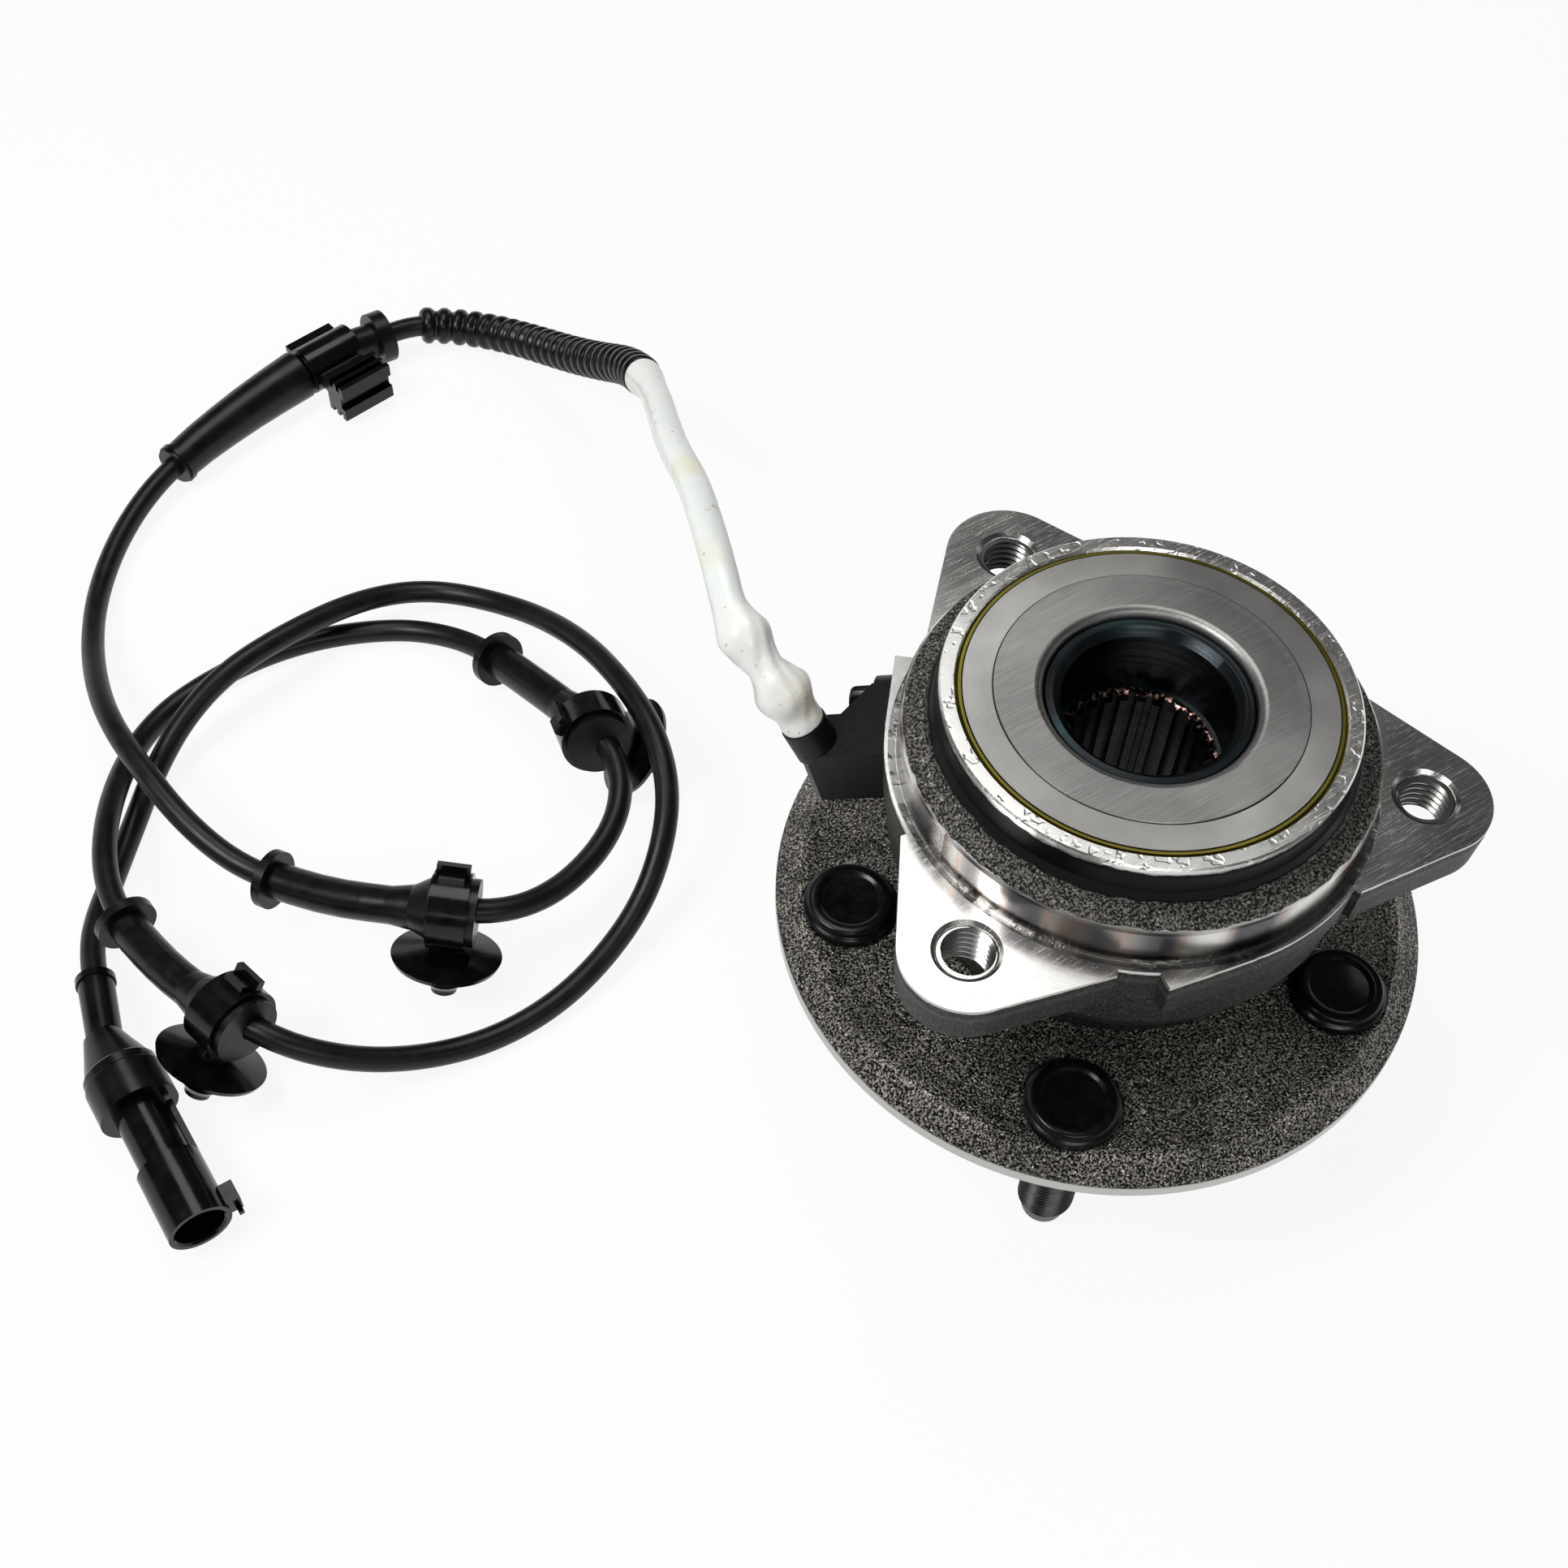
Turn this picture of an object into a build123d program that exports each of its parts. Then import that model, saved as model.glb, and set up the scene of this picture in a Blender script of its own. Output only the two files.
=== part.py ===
from build123d import *
from math import cos, exp, pi, radians, sin, sqrt, tan
import os

os.makedirs("parts", exist_ok=True)

# ---------------------------------------------------------------- main sizes
# The origin is on the spin axis, in the face that the wheel or brake disc
# bears on.  +Z runs up the spin axis, from the wheel towards the knuckle.

STUD_CIRCLE = 114.3        # five studs
STUD_COUNT = 5
STUD_FIRST = 154.46        # azimuth of the first stud, degrees
STUD_THREAD_R = 6.35
STUD_SHANK_R = STUD_THREAD_R + 0.25
STUD_HEAD_R = 10.5
STUD_HEAD_T = 4.4
STUD_LENGTH = 40.0         # below the wheel face

FLANGE_R = 73.2            # wheel flange
FLANGE_EDGE = 3.8          # height of its turned edge
FLANGE_RIDGE_R = FLANGE_R - 5.7
FLANGE_RIDGE_Z = 8.0
FLANGE_SEAT_Z = FLANGE_RIDGE_Z - 0.7   # spot faces under the stud heads
FLANGE_ROOT_Z = 10.6       # where its back sweeps up into the spindle
SPOT_FACE_R = STUD_HEAD_R + 0.7
PILOT_R = 35.25            # wheel pilot
PILOT_LENGTH = 14.0
PILOT_BORE_R = 29.0

SEAT_R = 21.6              # ground seat of the two inner rings
HUB_TOP_Z = 75.45
COUNTERBORE_R = 17.9
COUNTERBORE_Z = 58.4
SPLINE_TEETH = 27
SPLINE_TIP_R = 14.65
SPLINE_ROOT_R = 16.0
SPLINE_BOTTOM_Z = 10.0

MID_Z = 47.0               # plane midway between the two rows
RING_BACK_Z = 77.3         # back face of the inboard inner ring
ROW_Z = 64.0               # middle of the inboard rollers
ROW_PITCH_R = 31.8
RING_RIB_R = ROW_PITCH_R + 0.3
RING_NOSE_R = ROW_PITCH_R - 5.8
ROLLER_COUNT = 18
ROLLER_LENGTH = 12.0
CUP_ANGLE = 18.0
CONE_ANGLE = 13.5
RACE_PLAY = 0.10           # play between a roller and each race
POCKET_PLAY = 0.14
CAGE_WALL = 1.5

RIM_TOP_Z = 77.28          # outer ring
RIM_BORE_R = ROW_PITCH_R + 7.5
RIM_R = RIM_BORE_R + 3.53
MID_BORE_R = ROW_PITCH_R + 2.2
KNUCKLE_PILOT_R = RIM_R + 6.87
KNUCKLE_PILOT_TOP = 64.9
KNUCKLE_FACE_Z = 55.67
KNUCKLE_FLANGE_T = 10.7
KNUCKLE_DISC_R = KNUCKLE_PILOT_R + 2.5
RELIEF = 0.8               # depth of the groove between pilot and face
BODY_R = KNUCKLE_PILOT_R + 0.3

LOBE_FIRST = 79.16         # azimuth of the first lobe, degrees
LOBE_HOLE_R = KNUCKLE_PILOT_R + 10.97  # radius of the three hole centres
LOBE_R = 13.9
LOBE_SIDE = 56.0           # the straight sides face this far from the lobe
HOLE_R = 6.0               # major radius of the M12 threads
PAD_FLAT = KNUCKLE_DISC_R + 0.1        # flats between the lobes, from the axis
PAD_REACH = 19.4

SENSOR_AZ = 139.16
SENSOR_TILT = 17.0         # the probe's outer end hangs this far down
SENSOR_TOP_Z = 51.0        # height of the inner top edge of its body
PROBE_R = 4.5
PROBE_AIR_GAP = 0.9
TONE_TEETH = 48
TONE_TOOTH = 1.9
TONE_R = RING_NOSE_R + 6.5
PRESS_PLAY = 0.05          # between the tone ring and the nose it sits on

CABLE_R = 3.0
CABLE_PLAY = 0.05          # between the cable and whatever it runs through
FLOOR_Z = -STUD_LENGTH

# Route of the sensor cable, from the gland on the sensor to the boot of the
# connector, as it lies with the hub standing on its wheel studs.
CABLE_ROUTE = [
    (-51.5, 47.0, 50.5), (-54.0, 51.0, 58.0), (-56.5, 58.0, 64.5), (-57.0, 68.0, 68.5),
    (-53.0, 79.0, 70.5), (-47.5, 93.0, 68.0), (-40.5, 109.5, 62.0), (-34.5, 128.5, 53.0),
    (-25.5, 148.0, 41.5), (-16.5, 167.0, 29.5), (-9.0, 185.0, 18.0), (-4.5, 202.5, 7.0),
    (-4.0, 218.5, -4.5), (-4.5, 237.0, -16.0), (-7.0, 257.5, -26.0), (-11.0, 271.5, -31.5),
    (-18.2, 282.2, -34.0), (-30.0, 288.6, -32.5), (-45.2, 288.2, -31.7), (-64.2, 286.5, -31.0),
    (-87.3, 281.2, -32.0), (-108.6, 274.4, -33.1), (-125.2, 266.4, -34.0), (-140.3, 254.5, -35.7),
    (-153.0, 238.5, -36.5), (-161.5, 218.5, -32.5), (-166.5, 197.0, -25.5), (-168.0, 179.5, -21.0),
    (-167.0, 164.5, -20.0), (-165.0, 148.5, -21.5), (-160.5, 134.0, -24.0), (-154.0, 122.5, -25.0),
    (-143.5, 106.7, -21.5), (-133.0, 94.5, -17.5), (-122.0, 85.0, -16.2), (-110.5, 79.2, -18.0),
    (-97.5, 80.2, -21.5), (-84.0, 85.2, -23.0), (-73.5, 92.0, -22.5), (-66.8, 101.0, -21.0),
    (-64.6, 112.5, -20.4), (-67.3, 129.7, -22.8), (-70.2, 148.8, -28.0), (-73.5, 168.0, -33.0),
    (-82.5, 182.5, -36.5), (-94.5, 190.0, -37.0), (-108.5, 195.0, -37.0), (-123.5, 197.0, -37.0),
    (-139.0, 196.0, -37.0), (-153.0, 192.5, -37.0), (-165.0, 183.5, -35.0), (-176.0, 167.5, -29.0),
    (-184.5, 150.0, -24.5), (-188.2, 135.0, -23.5), (-187.5, 122.8, -23.5), (-184.7, 107.3, -21.3),
    (-179.8, 93.0, -19.8), (-173.5, 80.8, -20.3), (-166.0, 73.0, -24.0), (-154.5, 67.0, -30.0),
    (-140.5, 63.0, -35.0), (-125.5, 60.5, -37.0), (-109.0, 61.0, -36.5), (-93.5, 65.0, -34.5),
    (-79.4, 70.5, -29.0), (-68.3, 78.7, -22.0), (-60.0, 89.5, -17.0), (-55.4, 103.3, -13.5),
    (-53.4, 121.3, -14.5), (-53.0, 142.7, -20.0), (-55.9, 162.4, -27.0), (-62.5, 178.0, -32.0),
    (-72.0, 189.5, -33.5), (-83.5, 194.5, -32.0), (-98.5, 194.0, -28.0), (-117.5, 190.5, -25.0),
    (-135.5, 186.5, -24.5), (-150.0, 182.0, -29.0), (-162.5, 174.5, -34.5), (-174.5, 162.0, -37.0),
    (-184.5, 150.0, -36.5), (-193.0, 138.5, -34.0), (-197.5, 129.5, -32.5), (-199.5, 121.5, -31.5),
]

# Places on the route are given as a run and a fraction of it: 3.5 is halfway
# from the fourth point to the fifth.
SLEEVE_SPAN = (0.05, 10.2)
SLEEVE_R = 3.75            # shrunk close round the cable, but for its swells
# Each swell: distance from the gland, how much wider, and its reach to each side.
SLEEVE_SWELLS = [(0.0, 1.1, 4.0), (9.0, 2.7, 4.2), (23.5, 2.0, 4.6), (172.0, 1.3, 12.0)]
SLEEVE_SECTIONS = 34
CONDUIT_SPAN = (10.23, 16.85)
CONDUIT_R = 5.4
CONDUIT_VALLEY_R = CONDUIT_R - 1.1
CONDUIT_RIDGES = 25

# Each grommet: place of its flange and of its clip, the direction of the clip's
# ring along the cable, and the direction of the clip's block or pin.
GROMMET_1 = (21.33, 18.75, (-0.985, -0.174, 0.0), (-0.174, -0.985, 0.0))
GROMMET_2 = (31.1, 33.95, (0.795, -0.60, -0.09), (-0.34, -0.30, -0.89))
GROMMET_3 = (42.5, 40.3, (-0.244, -0.922, 0.30), (0.70, -0.38, -0.60))
GROMMET_4 = (53.65, 56.35, (0.236, -0.970, 0.05), (-0.62, -0.11, -0.78))
GROMMET_R = 4.6
GROMMET_FLANGE_R = 7.3

CLIP_BORE_R = 8.1          # push-in clips: ring, umbrella and barbed pin
CLIP_R = 9.4
CLIP_WIDTH = 9.0
UMBRELLA_R = 13.2
UMBRELLA_X = 12.9          # its rim, from the middle of the ring
PIN_END = 22.8
PIN_R = 3.1

WRAP_R = 7.0               # clip 1: a plain wrap with a slotted foot
WRAP_LENGTH = 17.0
WRAP_BORE_R = 5.85
FOOT_REACH = 19.5

CONNECTOR_X = -204.2       # the connector lies along -Y
CONNECTOR_Z = -30.7
CONNECTOR_MOUTH_Y = 49.3
CONNECTOR_STEP_Y = 66.9
CONNECTOR_COLLAR_Y = 83.0
CONNECTOR_R = 7.35
BARREL_R = CONNECTOR_R - 1.25
SPIGOT_R = CONNECTOR_R - 2.35
BOOT_R = CONNECTOR_R + 1.85
NECK_R = CABLE_R + 1.3
PIN_X = 2.2
TERMINAL_R = 0.8
SOCKET_R = 5.8
SOCKET_DEPTH = 19.0


def write(node, shape):
    """Write one piece, made of one or more separate solids, as a STEP file."""
    solids = shape.solids()
    export_step(solids[0] if len(solids) == 1 else Compound(children=list(solids)), f"parts/{node}.step")
    print(f"{node}: {len(solids)} solid(s), {sum(s.volume for s in solids):.1f} mm3")


def polar(r, az, z=0.0):
    return Vector(r * cos(radians(az)), r * sin(radians(az)), z)


def turned(points):
    """Revolve a closed outline, given as (r, z) points, round the spin axis."""
    outline = Plane.XZ * Polyline(*points, close=True)
    return revolve(make_face(outline), Axis.Z)


def mirrored(shape):
    """Mirror a piece of the inboard row into the outboard row."""
    return mirror(shape, Plane.XY.offset(MID_Z))


# ------------------------------------------------------- the two roller rows

ROLLER_TILT = (CUP_ANGLE + CONE_ANGLE) / 2
ROLLER_HALF = (CUP_ANGLE - CONE_ANGLE) / 2
APEX_TO_MIDDLE = ROW_PITCH_R / sin(radians(ROLLER_TILT))
ROW_APEX_Z = ROW_Z - ROW_PITCH_R / tan(radians(ROLLER_TILT))


def on_roller_axis(along, outward=0.0):
    """(r, z) of a point along the roller axis from its middle, and square to it."""
    tilt = radians(ROLLER_TILT)
    distance = APEX_TO_MIDDLE + along
    return (distance * sin(tilt) + outward * cos(tilt),
            ROW_APEX_Z + distance * cos(tilt) - outward * sin(tilt))


def race_radius(z, angle, play):
    """Radius of a raceway at height z, set off from the rollers by the play."""
    return (z - ROW_APEX_Z) * tan(radians(angle)) + play / cos(radians(angle))


def roller(grow=0.0, longer=0.0):
    """A tapered roller on its own axis at azimuth 0, grown for cutting pockets."""
    length = ROLLER_LENGTH + 2 * longer
    taper = tan(radians(ROLLER_HALF))
    small = (APEX_TO_MIDDLE - length / 2) * taper + grow
    large = (APEX_TO_MIDDLE + length / 2) * taper + grow
    r, z = on_roller_axis(0)
    body = Cone(small, large, length)
    if grow == 0:
        body = chamfer(body.edges(), 0.35)
    return Pos(r, 0, z) * Rot(0, ROLLER_TILT, 0) * body


def around(shape, count):
    return [Rot(0, 0, 360 * i / count) * shape for i in range(count)]


def roller_set():
    return Compound(children=around(roller(), ROLLER_COUNT))


def cage():
    """A conical cage: two end rings joined by bars between the rollers."""
    half = ROLLER_LENGTH / 2
    inner, outer = 0.1, 0.1 + CAGE_WALL
    shell = turned([on_roller_axis(-half - 1.9, inner), on_roller_axis(half + 1.7, inner),
                    on_roller_axis(half + 1.7, outer), on_roller_axis(-half - 1.9, outer)])
    return shell - around(roller(POCKET_PLAY, POCKET_PLAY + 0.1), ROLLER_COUNT)


def inner_ring():
    """The inboard inner ring (cone): raceway, thrust rib, small rib and nose."""
    half = ROLLER_LENGTH / 2
    rib_gap = 0.12
    taper = tan(radians(ROLLER_HALF))
    large_end = on_roller_axis(half + rib_gap, -(APEX_TO_MIDDLE + half) * taper - RACE_PLAY)
    small_end = on_roller_axis(-half - 0.3, -(APEX_TO_MIDDLE - half) * taper - RACE_PLAY)
    slope = tan(radians(ROLLER_TILT))
    rib_foot_z = large_end[1] - (RING_RIB_R - large_end[0]) * slope
    nose_rib_r = RING_NOSE_R + 1.0
    nose_rib_z = small_end[1] - (nose_rib_r - small_end[0]) * slope
    body = turned([(SEAT_R, MID_Z), (RING_NOSE_R, MID_Z), (RING_NOSE_R, nose_rib_z - 3.0),
                   (nose_rib_r, nose_rib_z - 2.4), (nose_rib_r, nose_rib_z), small_end, large_end,
                   (RING_RIB_R, rib_foot_z), (RING_RIB_R, RING_BACK_Z), (SEAT_R, RING_BACK_Z)])
    body = fillet(back_edge(body, SEAT_R), 2.0)
    return chamfer(back_edge(body, RING_RIB_R), 0.35)


def back_edge(ring, radius):
    """The round edge of that radius in the back face of an inner ring."""
    return ring.edges().filter_by(GeomType.CIRCLE).filter_by(
        lambda e: abs(e.radius - radius) < 0.01 and e.center().Z > RING_BACK_Z - 1)


def tone_ring():
    """The toothed ring that the sensor reads, pressed on the inner ring's nose."""
    disc = Circle(TONE_R) - Circle(RING_NOSE_R + PRESS_PLAY)
    slot = Pos(TONE_R, 0) * Rectangle(2 * TONE_TOOTH, pi * TONE_R / TONE_TEETH)
    for i in range(TONE_TEETH):
        disc -= Rot(0, 0, 360 * i / TONE_TEETH) * slot
    return Pos(0, 0, MID_Z - 1.9) * extrude(disc, 6.5)


# ------------------------------------------------------------ cassette seals

FLINGER_TOP_Z = RING_BACK_Z - 0.3
SEAL_FLANGE_Z = FLINGER_TOP_Z - 5.0    # underside of the seal case's inward flange
SEAL_WALL = 1.0
SEAL_SHEET = 0.8           # thickness of the flange and of the flinger
SEAL_GAP = 0.3             # between what turns and what does not
CASE_BORE_R = RING_RIB_R + 2.5
FLINGER_R = RIM_BORE_R - SEAL_WALL - SEAL_GAP


def seal_case():
    """The steel case pressed in the outer ring, its rim drawn in at the top."""
    lip_r = RIM_BORE_R - 0.4
    wall_r = RIM_BORE_R - SEAL_WALL
    top = FLINGER_TOP_Z - 0.1
    floor = SEAL_FLANGE_Z + SEAL_SHEET
    return turned([(CASE_BORE_R, SEAL_FLANGE_Z), (RIM_BORE_R, SEAL_FLANGE_Z), (RIM_BORE_R, top - 1.0),
                   (lip_r, top - 0.6), (lip_r, top), (wall_r, top), (wall_r, floor), (CASE_BORE_R, floor)])


def seal_lip():
    """The rubber moulded on the case: a foot, a radial lip and an axial lip."""
    foot = SEAL_FLANGE_Z + SEAL_SHEET
    root = CASE_BORE_R + 2.0
    bore = RING_RIB_R + SEAL_SHEET + SEAL_GAP
    under = FLINGER_TOP_Z - SEAL_SHEET - SEAL_GAP
    wall_r = RIM_BORE_R - SEAL_WALL
    return turned([
        (CASE_BORE_R - 0.4, SEAL_FLANGE_Z), (CASE_BORE_R, SEAL_FLANGE_Z), (CASE_BORE_R, foot), (wall_r, foot),
        (wall_r, foot + 0.8), (root, foot + 0.9), (root + 0.7, under), (root + 0.2, under),
        (root - 0.9, foot + 1.1), (CASE_BORE_R - 0.4, foot + 1.2), (bore, foot + 1.9), (bore, foot + 1.3)])


def seal_flinger():
    """The flinger pressed on the inner ring's rib; its disc closes the seal."""
    sleeve_r = RING_RIB_R + SEAL_SHEET
    disc_z = FLINGER_TOP_Z - SEAL_SHEET
    return turned([(RING_RIB_R, SEAL_FLANGE_Z + 0.2), (sleeve_r, SEAL_FLANGE_Z + 0.2), (sleeve_r, disc_z),
                   (FLINGER_R, disc_z), (FLINGER_R, FLINGER_TOP_Z), (RING_RIB_R, FLINGER_TOP_Z)])


# -------------------------------------------------------------------- the hub


def spline_space():
    """One gap between two teeth of the drive spline, as a flat outline."""
    pitch = 360 / SPLINE_TEETH
    tip_half = 0.30 * pitch
    root_half = 0.17 * pitch
    over = SPLINE_TIP_R - 0.4
    corners = [polar(over, -tip_half), polar(SPLINE_ROOT_R, -root_half),
               polar(SPLINE_ROOT_R, root_half), polar(over, tip_half)]
    return make_face(Polyline(*corners, close=True))


def hub():
    """Wheel flange and splined spindle, one forging."""
    shoulder_z = 2 * MID_Z - RING_BACK_Z
    shoulder_r = RING_RIB_R - 2.6
    body = turned([
        (SPLINE_TIP_R, -PILOT_LENGTH), (PILOT_R - 1.0, -PILOT_LENGTH), (PILOT_R, -PILOT_LENGTH + 1.6),
        (PILOT_R, 0), (FLANGE_R - 0.6, 0), (FLANGE_R, 0.6), (FLANGE_R, FLANGE_EDGE),
        (FLANGE_RIDGE_R, FLANGE_RIDGE_Z), (FLANGE_RIDGE_R - 5.5, FLANGE_SEAT_Z + 0.1),
        (PILOT_R + 12.75, FLANGE_RIDGE_Z + 0.4), (shoulder_r + 4.5, FLANGE_ROOT_Z),
        (shoulder_r + 1.0, shoulder_z - 3.7), (shoulder_r, shoulder_z), (SEAT_R, shoulder_z),
        (SEAT_R, HUB_TOP_Z - 0.5),
        (SEAT_R - 0.5, HUB_TOP_Z), (COUNTERBORE_R + 1.6, HUB_TOP_Z), (COUNTERBORE_R, HUB_TOP_Z - 1.65),
        (COUNTERBORE_R, COUNTERBORE_Z), (SPLINE_ROOT_R + 0.3, COUNTERBORE_Z - 0.3),
        (SPLINE_TIP_R, COUNTERBORE_Z - 1.9)])
    body -= Pos(0, 0, (SPLINE_BOTTOM_Z - PILOT_LENGTH) / 2) * Cylinder(
        PILOT_BORE_R, SPLINE_BOTTOM_Z + PILOT_LENGTH)
    space = extrude(spline_space(), COUNTERBORE_Z - SPLINE_BOTTOM_Z + 1)
    body -= around(Pos(0, 0, SPLINE_BOTTOM_Z - 0.5) * space, SPLINE_TEETH)
    for i in range(STUD_COUNT):
        at = polar(STUD_CIRCLE / 2, STUD_FIRST + 360 * i / STUD_COUNT)
        hole = Cylinder(STUD_SHANK_R + PRESS_PLAY, FLANGE_SEAT_Z + 1)
        body -= Pos(at.X, at.Y, FLANGE_SEAT_Z / 2) * hole
        body -= Pos(at.X, at.Y, FLANGE_SEAT_Z + 1) * Cylinder(SPOT_FACE_R, 2)
    return body


def wheel_studs():
    """Five pressed-in studs: round stepped head, knurled shank, thread, dog point."""
    head_r, head_t, dog_r = STUD_HEAD_R, STUD_HEAD_T, STUD_THREAD_R - 1.35
    head = [(0, 0.84), (0.63, 0.84), (0.70, 1.0), (0.85, 1.0), (0.91, 0.86), (0.91, 0.66),
            (1.0, 0.55), (1.0, 0.1), (0.96, 0)]
    stud = turned([(r * head_r, FLANGE_SEAT_Z + t * head_t) for r, t in head] + [
        (STUD_SHANK_R, FLANGE_SEAT_Z), (STUD_SHANK_R, 0.2), (STUD_THREAD_R, 0),
        (STUD_THREAD_R, FLOOR_Z + 6.2),
        (dog_r, FLOOR_Z + 4.8), (dog_r, FLOOR_Z + 1.2), (dog_r - 1.1, FLOOR_Z), (0, FLOOR_Z)])
    studs = []
    for i in range(STUD_COUNT):
        at = polar(STUD_CIRCLE / 2, STUD_FIRST + 360 * i / STUD_COUNT)
        studs.append(Pos(at.X, at.Y, 0) * stud)
    return Compound(children=studs)


# ------------------------------------------------------------- the outer ring


def sensor_plane():
    """Plane on the sensor's inner top edge: x out along it, y along its face."""
    az = radians(SENSOR_AZ)
    tilt = radians(SENSOR_TILT)
    outward = Vector(cos(az) * cos(tilt), sin(az) * cos(tilt), -sin(tilt))
    up = Vector(cos(az) * sin(tilt), sin(az) * sin(tilt), cos(tilt))
    edge = polar(BODY_R + 2.1, SENSOR_AZ, SENSOR_TOP_Z)
    return Plane(origin=edge, x_dir=outward, z_dir=up)


SENSOR_FRONT = 4.0         # faces of the sensor's body along y
SENSOR_BACK = -7.7
SENSOR_HEIGHT = 15.0
SENSOR_REACH = 18.6        # of its block, out from the outer ring
BOSS_DEPTH = 11.0          # of the outer ring's boss behind it
EAR_Y = -15.8              # screw centre in the sensor's plane
EAR_R = 6.5
EAR_T = 4.6
SCREW_R = 3.0
GLAND_R = CABLE_R + 2.1
GLAND_LENGTH = 7.5
SENSOR_MID = -SENSOR_HEIGHT / 2
PROBE_Y = (SENSOR_FRONT + SENSOR_BACK) / 2


def ear_outline(grow):
    """The shape of the sensor's mounting face, seen along the probe."""
    width = SENSOR_FRONT - EAR_Y + grow
    block = Pos((EAR_Y + SENSOR_FRONT + grow) / 2, SENSOR_MID) * Rectangle(width, SENSOR_HEIGHT + 2 * grow)
    return block + Pos(EAR_Y, SENSOR_MID) * Circle(EAR_R + grow)


def along_sensor(outline, start, length):
    """Extrude an outline drawn in the sensor's y and z out along its x."""
    at = sensor_plane()
    face = Plane(origin=at.from_local_coords(Vector(start, 0, 0)), x_dir=at.y_dir, z_dir=at.x_dir)
    return extrude(face * outline, length)


def on_probe(shape, start):
    """Set a piece turned about Z on the probe's axis, its base at x = start."""
    at = sensor_plane()
    origin = at.from_local_coords(Vector(start, PROBE_Y, SENSOR_MID))
    return Plane(origin=origin, x_dir=at.y_dir, z_dir=at.x_dir) * shape


def lobe_face():
    """Outline of the three-lobed knuckle flange at azimuth 0."""
    face = Circle(KNUCKLE_DISC_R)
    side = radians(LOBE_SIDE)
    tangent_x = LOBE_HOLE_R + LOBE_R * cos(side)
    tangent_y = LOBE_R * sin(side)
    run = 26.0
    root_x = tangent_x - run * sin(side)
    root_y = tangent_y + run * cos(side)
    wedge = make_face(Polyline((0, 0), (root_x, -root_y), (tangent_x, -tangent_y),
                               (tangent_x, tangent_y), (root_x, root_y), close=True))
    lobe = wedge + Pos(LOBE_HOLE_R, 0) * Circle(LOBE_R)
    pad = Rot(0, 0, 60) * Pos(PAD_FLAT - 7, -PAD_REACH / 2) * Rectangle(14, PAD_REACH)
    for i in range(3):
        face += Rot(0, 0, 120 * i) * lobe
        face += Rot(0, 0, 120 * i) * pad
    return face


def knuckle_flange():
    """The forged flange, drafted both ways from its parting line."""
    face = Rot(0, 0, LOBE_FIRST) * lobe_face()
    above = 3.2
    top = Pos(0, 0, KNUCKLE_FACE_Z - above) * extrude(face, above)
    below = KNUCKLE_FLANGE_T - above
    bottom = extrude(Pos(0, 0, KNUCKLE_FACE_Z - above) * face, -below, taper=4)
    return top + bottom


def bearing_housing():
    """Outer ring: both cups, knuckle pilot, three-lobed flange and sensor boss."""
    top_cup = race_radius(SEAL_FLANGE_Z - 1.4, CUP_ANGLE, RACE_PLAY)
    low_cup_z = ROW_APEX_Z + (MID_BORE_R - RACE_PLAY / cos(radians(CUP_ANGLE))) / tan(radians(CUP_ANGLE))
    low = 2 * MID_Z
    inside = [(RIM_BORE_R + 0.5, RIM_TOP_Z), (RIM_BORE_R, RIM_TOP_Z - 0.6), (RIM_BORE_R, SEAL_FLANGE_Z - 0.1),
              (top_cup, SEAL_FLANGE_Z - 1.4), (MID_BORE_R, low_cup_z)]
    mirror_inside = [(r, low - z) for r, z in reversed(inside)]
    relief_z = KNUCKLE_FACE_Z - RELIEF
    outside = [
        (RIM_R - 0.53, low - RIM_TOP_Z), (RIM_R + 0.67, low - RIM_TOP_Z + 1.2), (RIM_R + 0.97, 23.5),
        (BODY_R - 1.5, 29.0), (BODY_R, 33.0), (BODY_R, relief_z), (KNUCKLE_PILOT_R, relief_z),
        (KNUCKLE_PILOT_R, KNUCKLE_PILOT_TOP), (KNUCKLE_PILOT_R - 1.1, KNUCKLE_PILOT_TOP + 1.66),
        (KNUCKLE_PILOT_R - 4.8, KNUCKLE_PILOT_TOP + 2.55)]
    neck = [(RIM_R + 0.52, RIM_TOP_Z - 6.68), (RIM_R, RIM_TOP_Z - 2.88), (RIM_R, RIM_TOP_Z - 0.35),
            (RIM_R - 0.35, RIM_TOP_Z)]
    body = turned(inside + mirror_inside + outside + neck)
    groove = Pos(0, 0, KNUCKLE_FACE_Z - RELIEF / 2) * Cylinder(KNUCKLE_DISC_R - 0.7, RELIEF)
    bore = Pos(0, 0, MID_Z) * Cylinder(BODY_R - 6, 60)
    body += knuckle_flange() - groove - bore
    body += along_sensor(ear_outline(0.0), -BOSS_DEPTH, BOSS_DEPTH)
    body -= along_sensor(ear_outline(0.6), 0.0, 24.0)
    for i in range(3):
        at = polar(LOBE_HOLE_R, LOBE_FIRST + 120 * i)
        body -= Pos(at.X, at.Y, KNUCKLE_FACE_Z - 6) * Cylinder(HOLE_R, 14)
        body -= Pos(at.X, at.Y, KNUCKLE_FACE_Z - 0.6) * Cone(HOLE_R, HOLE_R + 1.2, 1.2)
    body -= on_probe(Pos(0, 0, -BOSS_DEPTH) * Cylinder(PROBE_R + 0.25, 2 * BOSS_DEPTH + 2), 0)
    body -= along_sensor(Pos(EAR_Y, SENSOR_MID) * Circle(SCREW_R + 0.05), -BOSS_DEPTH, BOSS_DEPTH + 0.5)
    return body


# ----------------------------------------------------------------- the sensor


def gland_axis():
    """Start and direction of the cable gland, aimed down the cable's first run."""
    start = Vector(*CABLE_ROUTE[0])
    direction = (Vector(*CABLE_ROUTE[1]) - start).normalized()
    return start, direction


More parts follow.
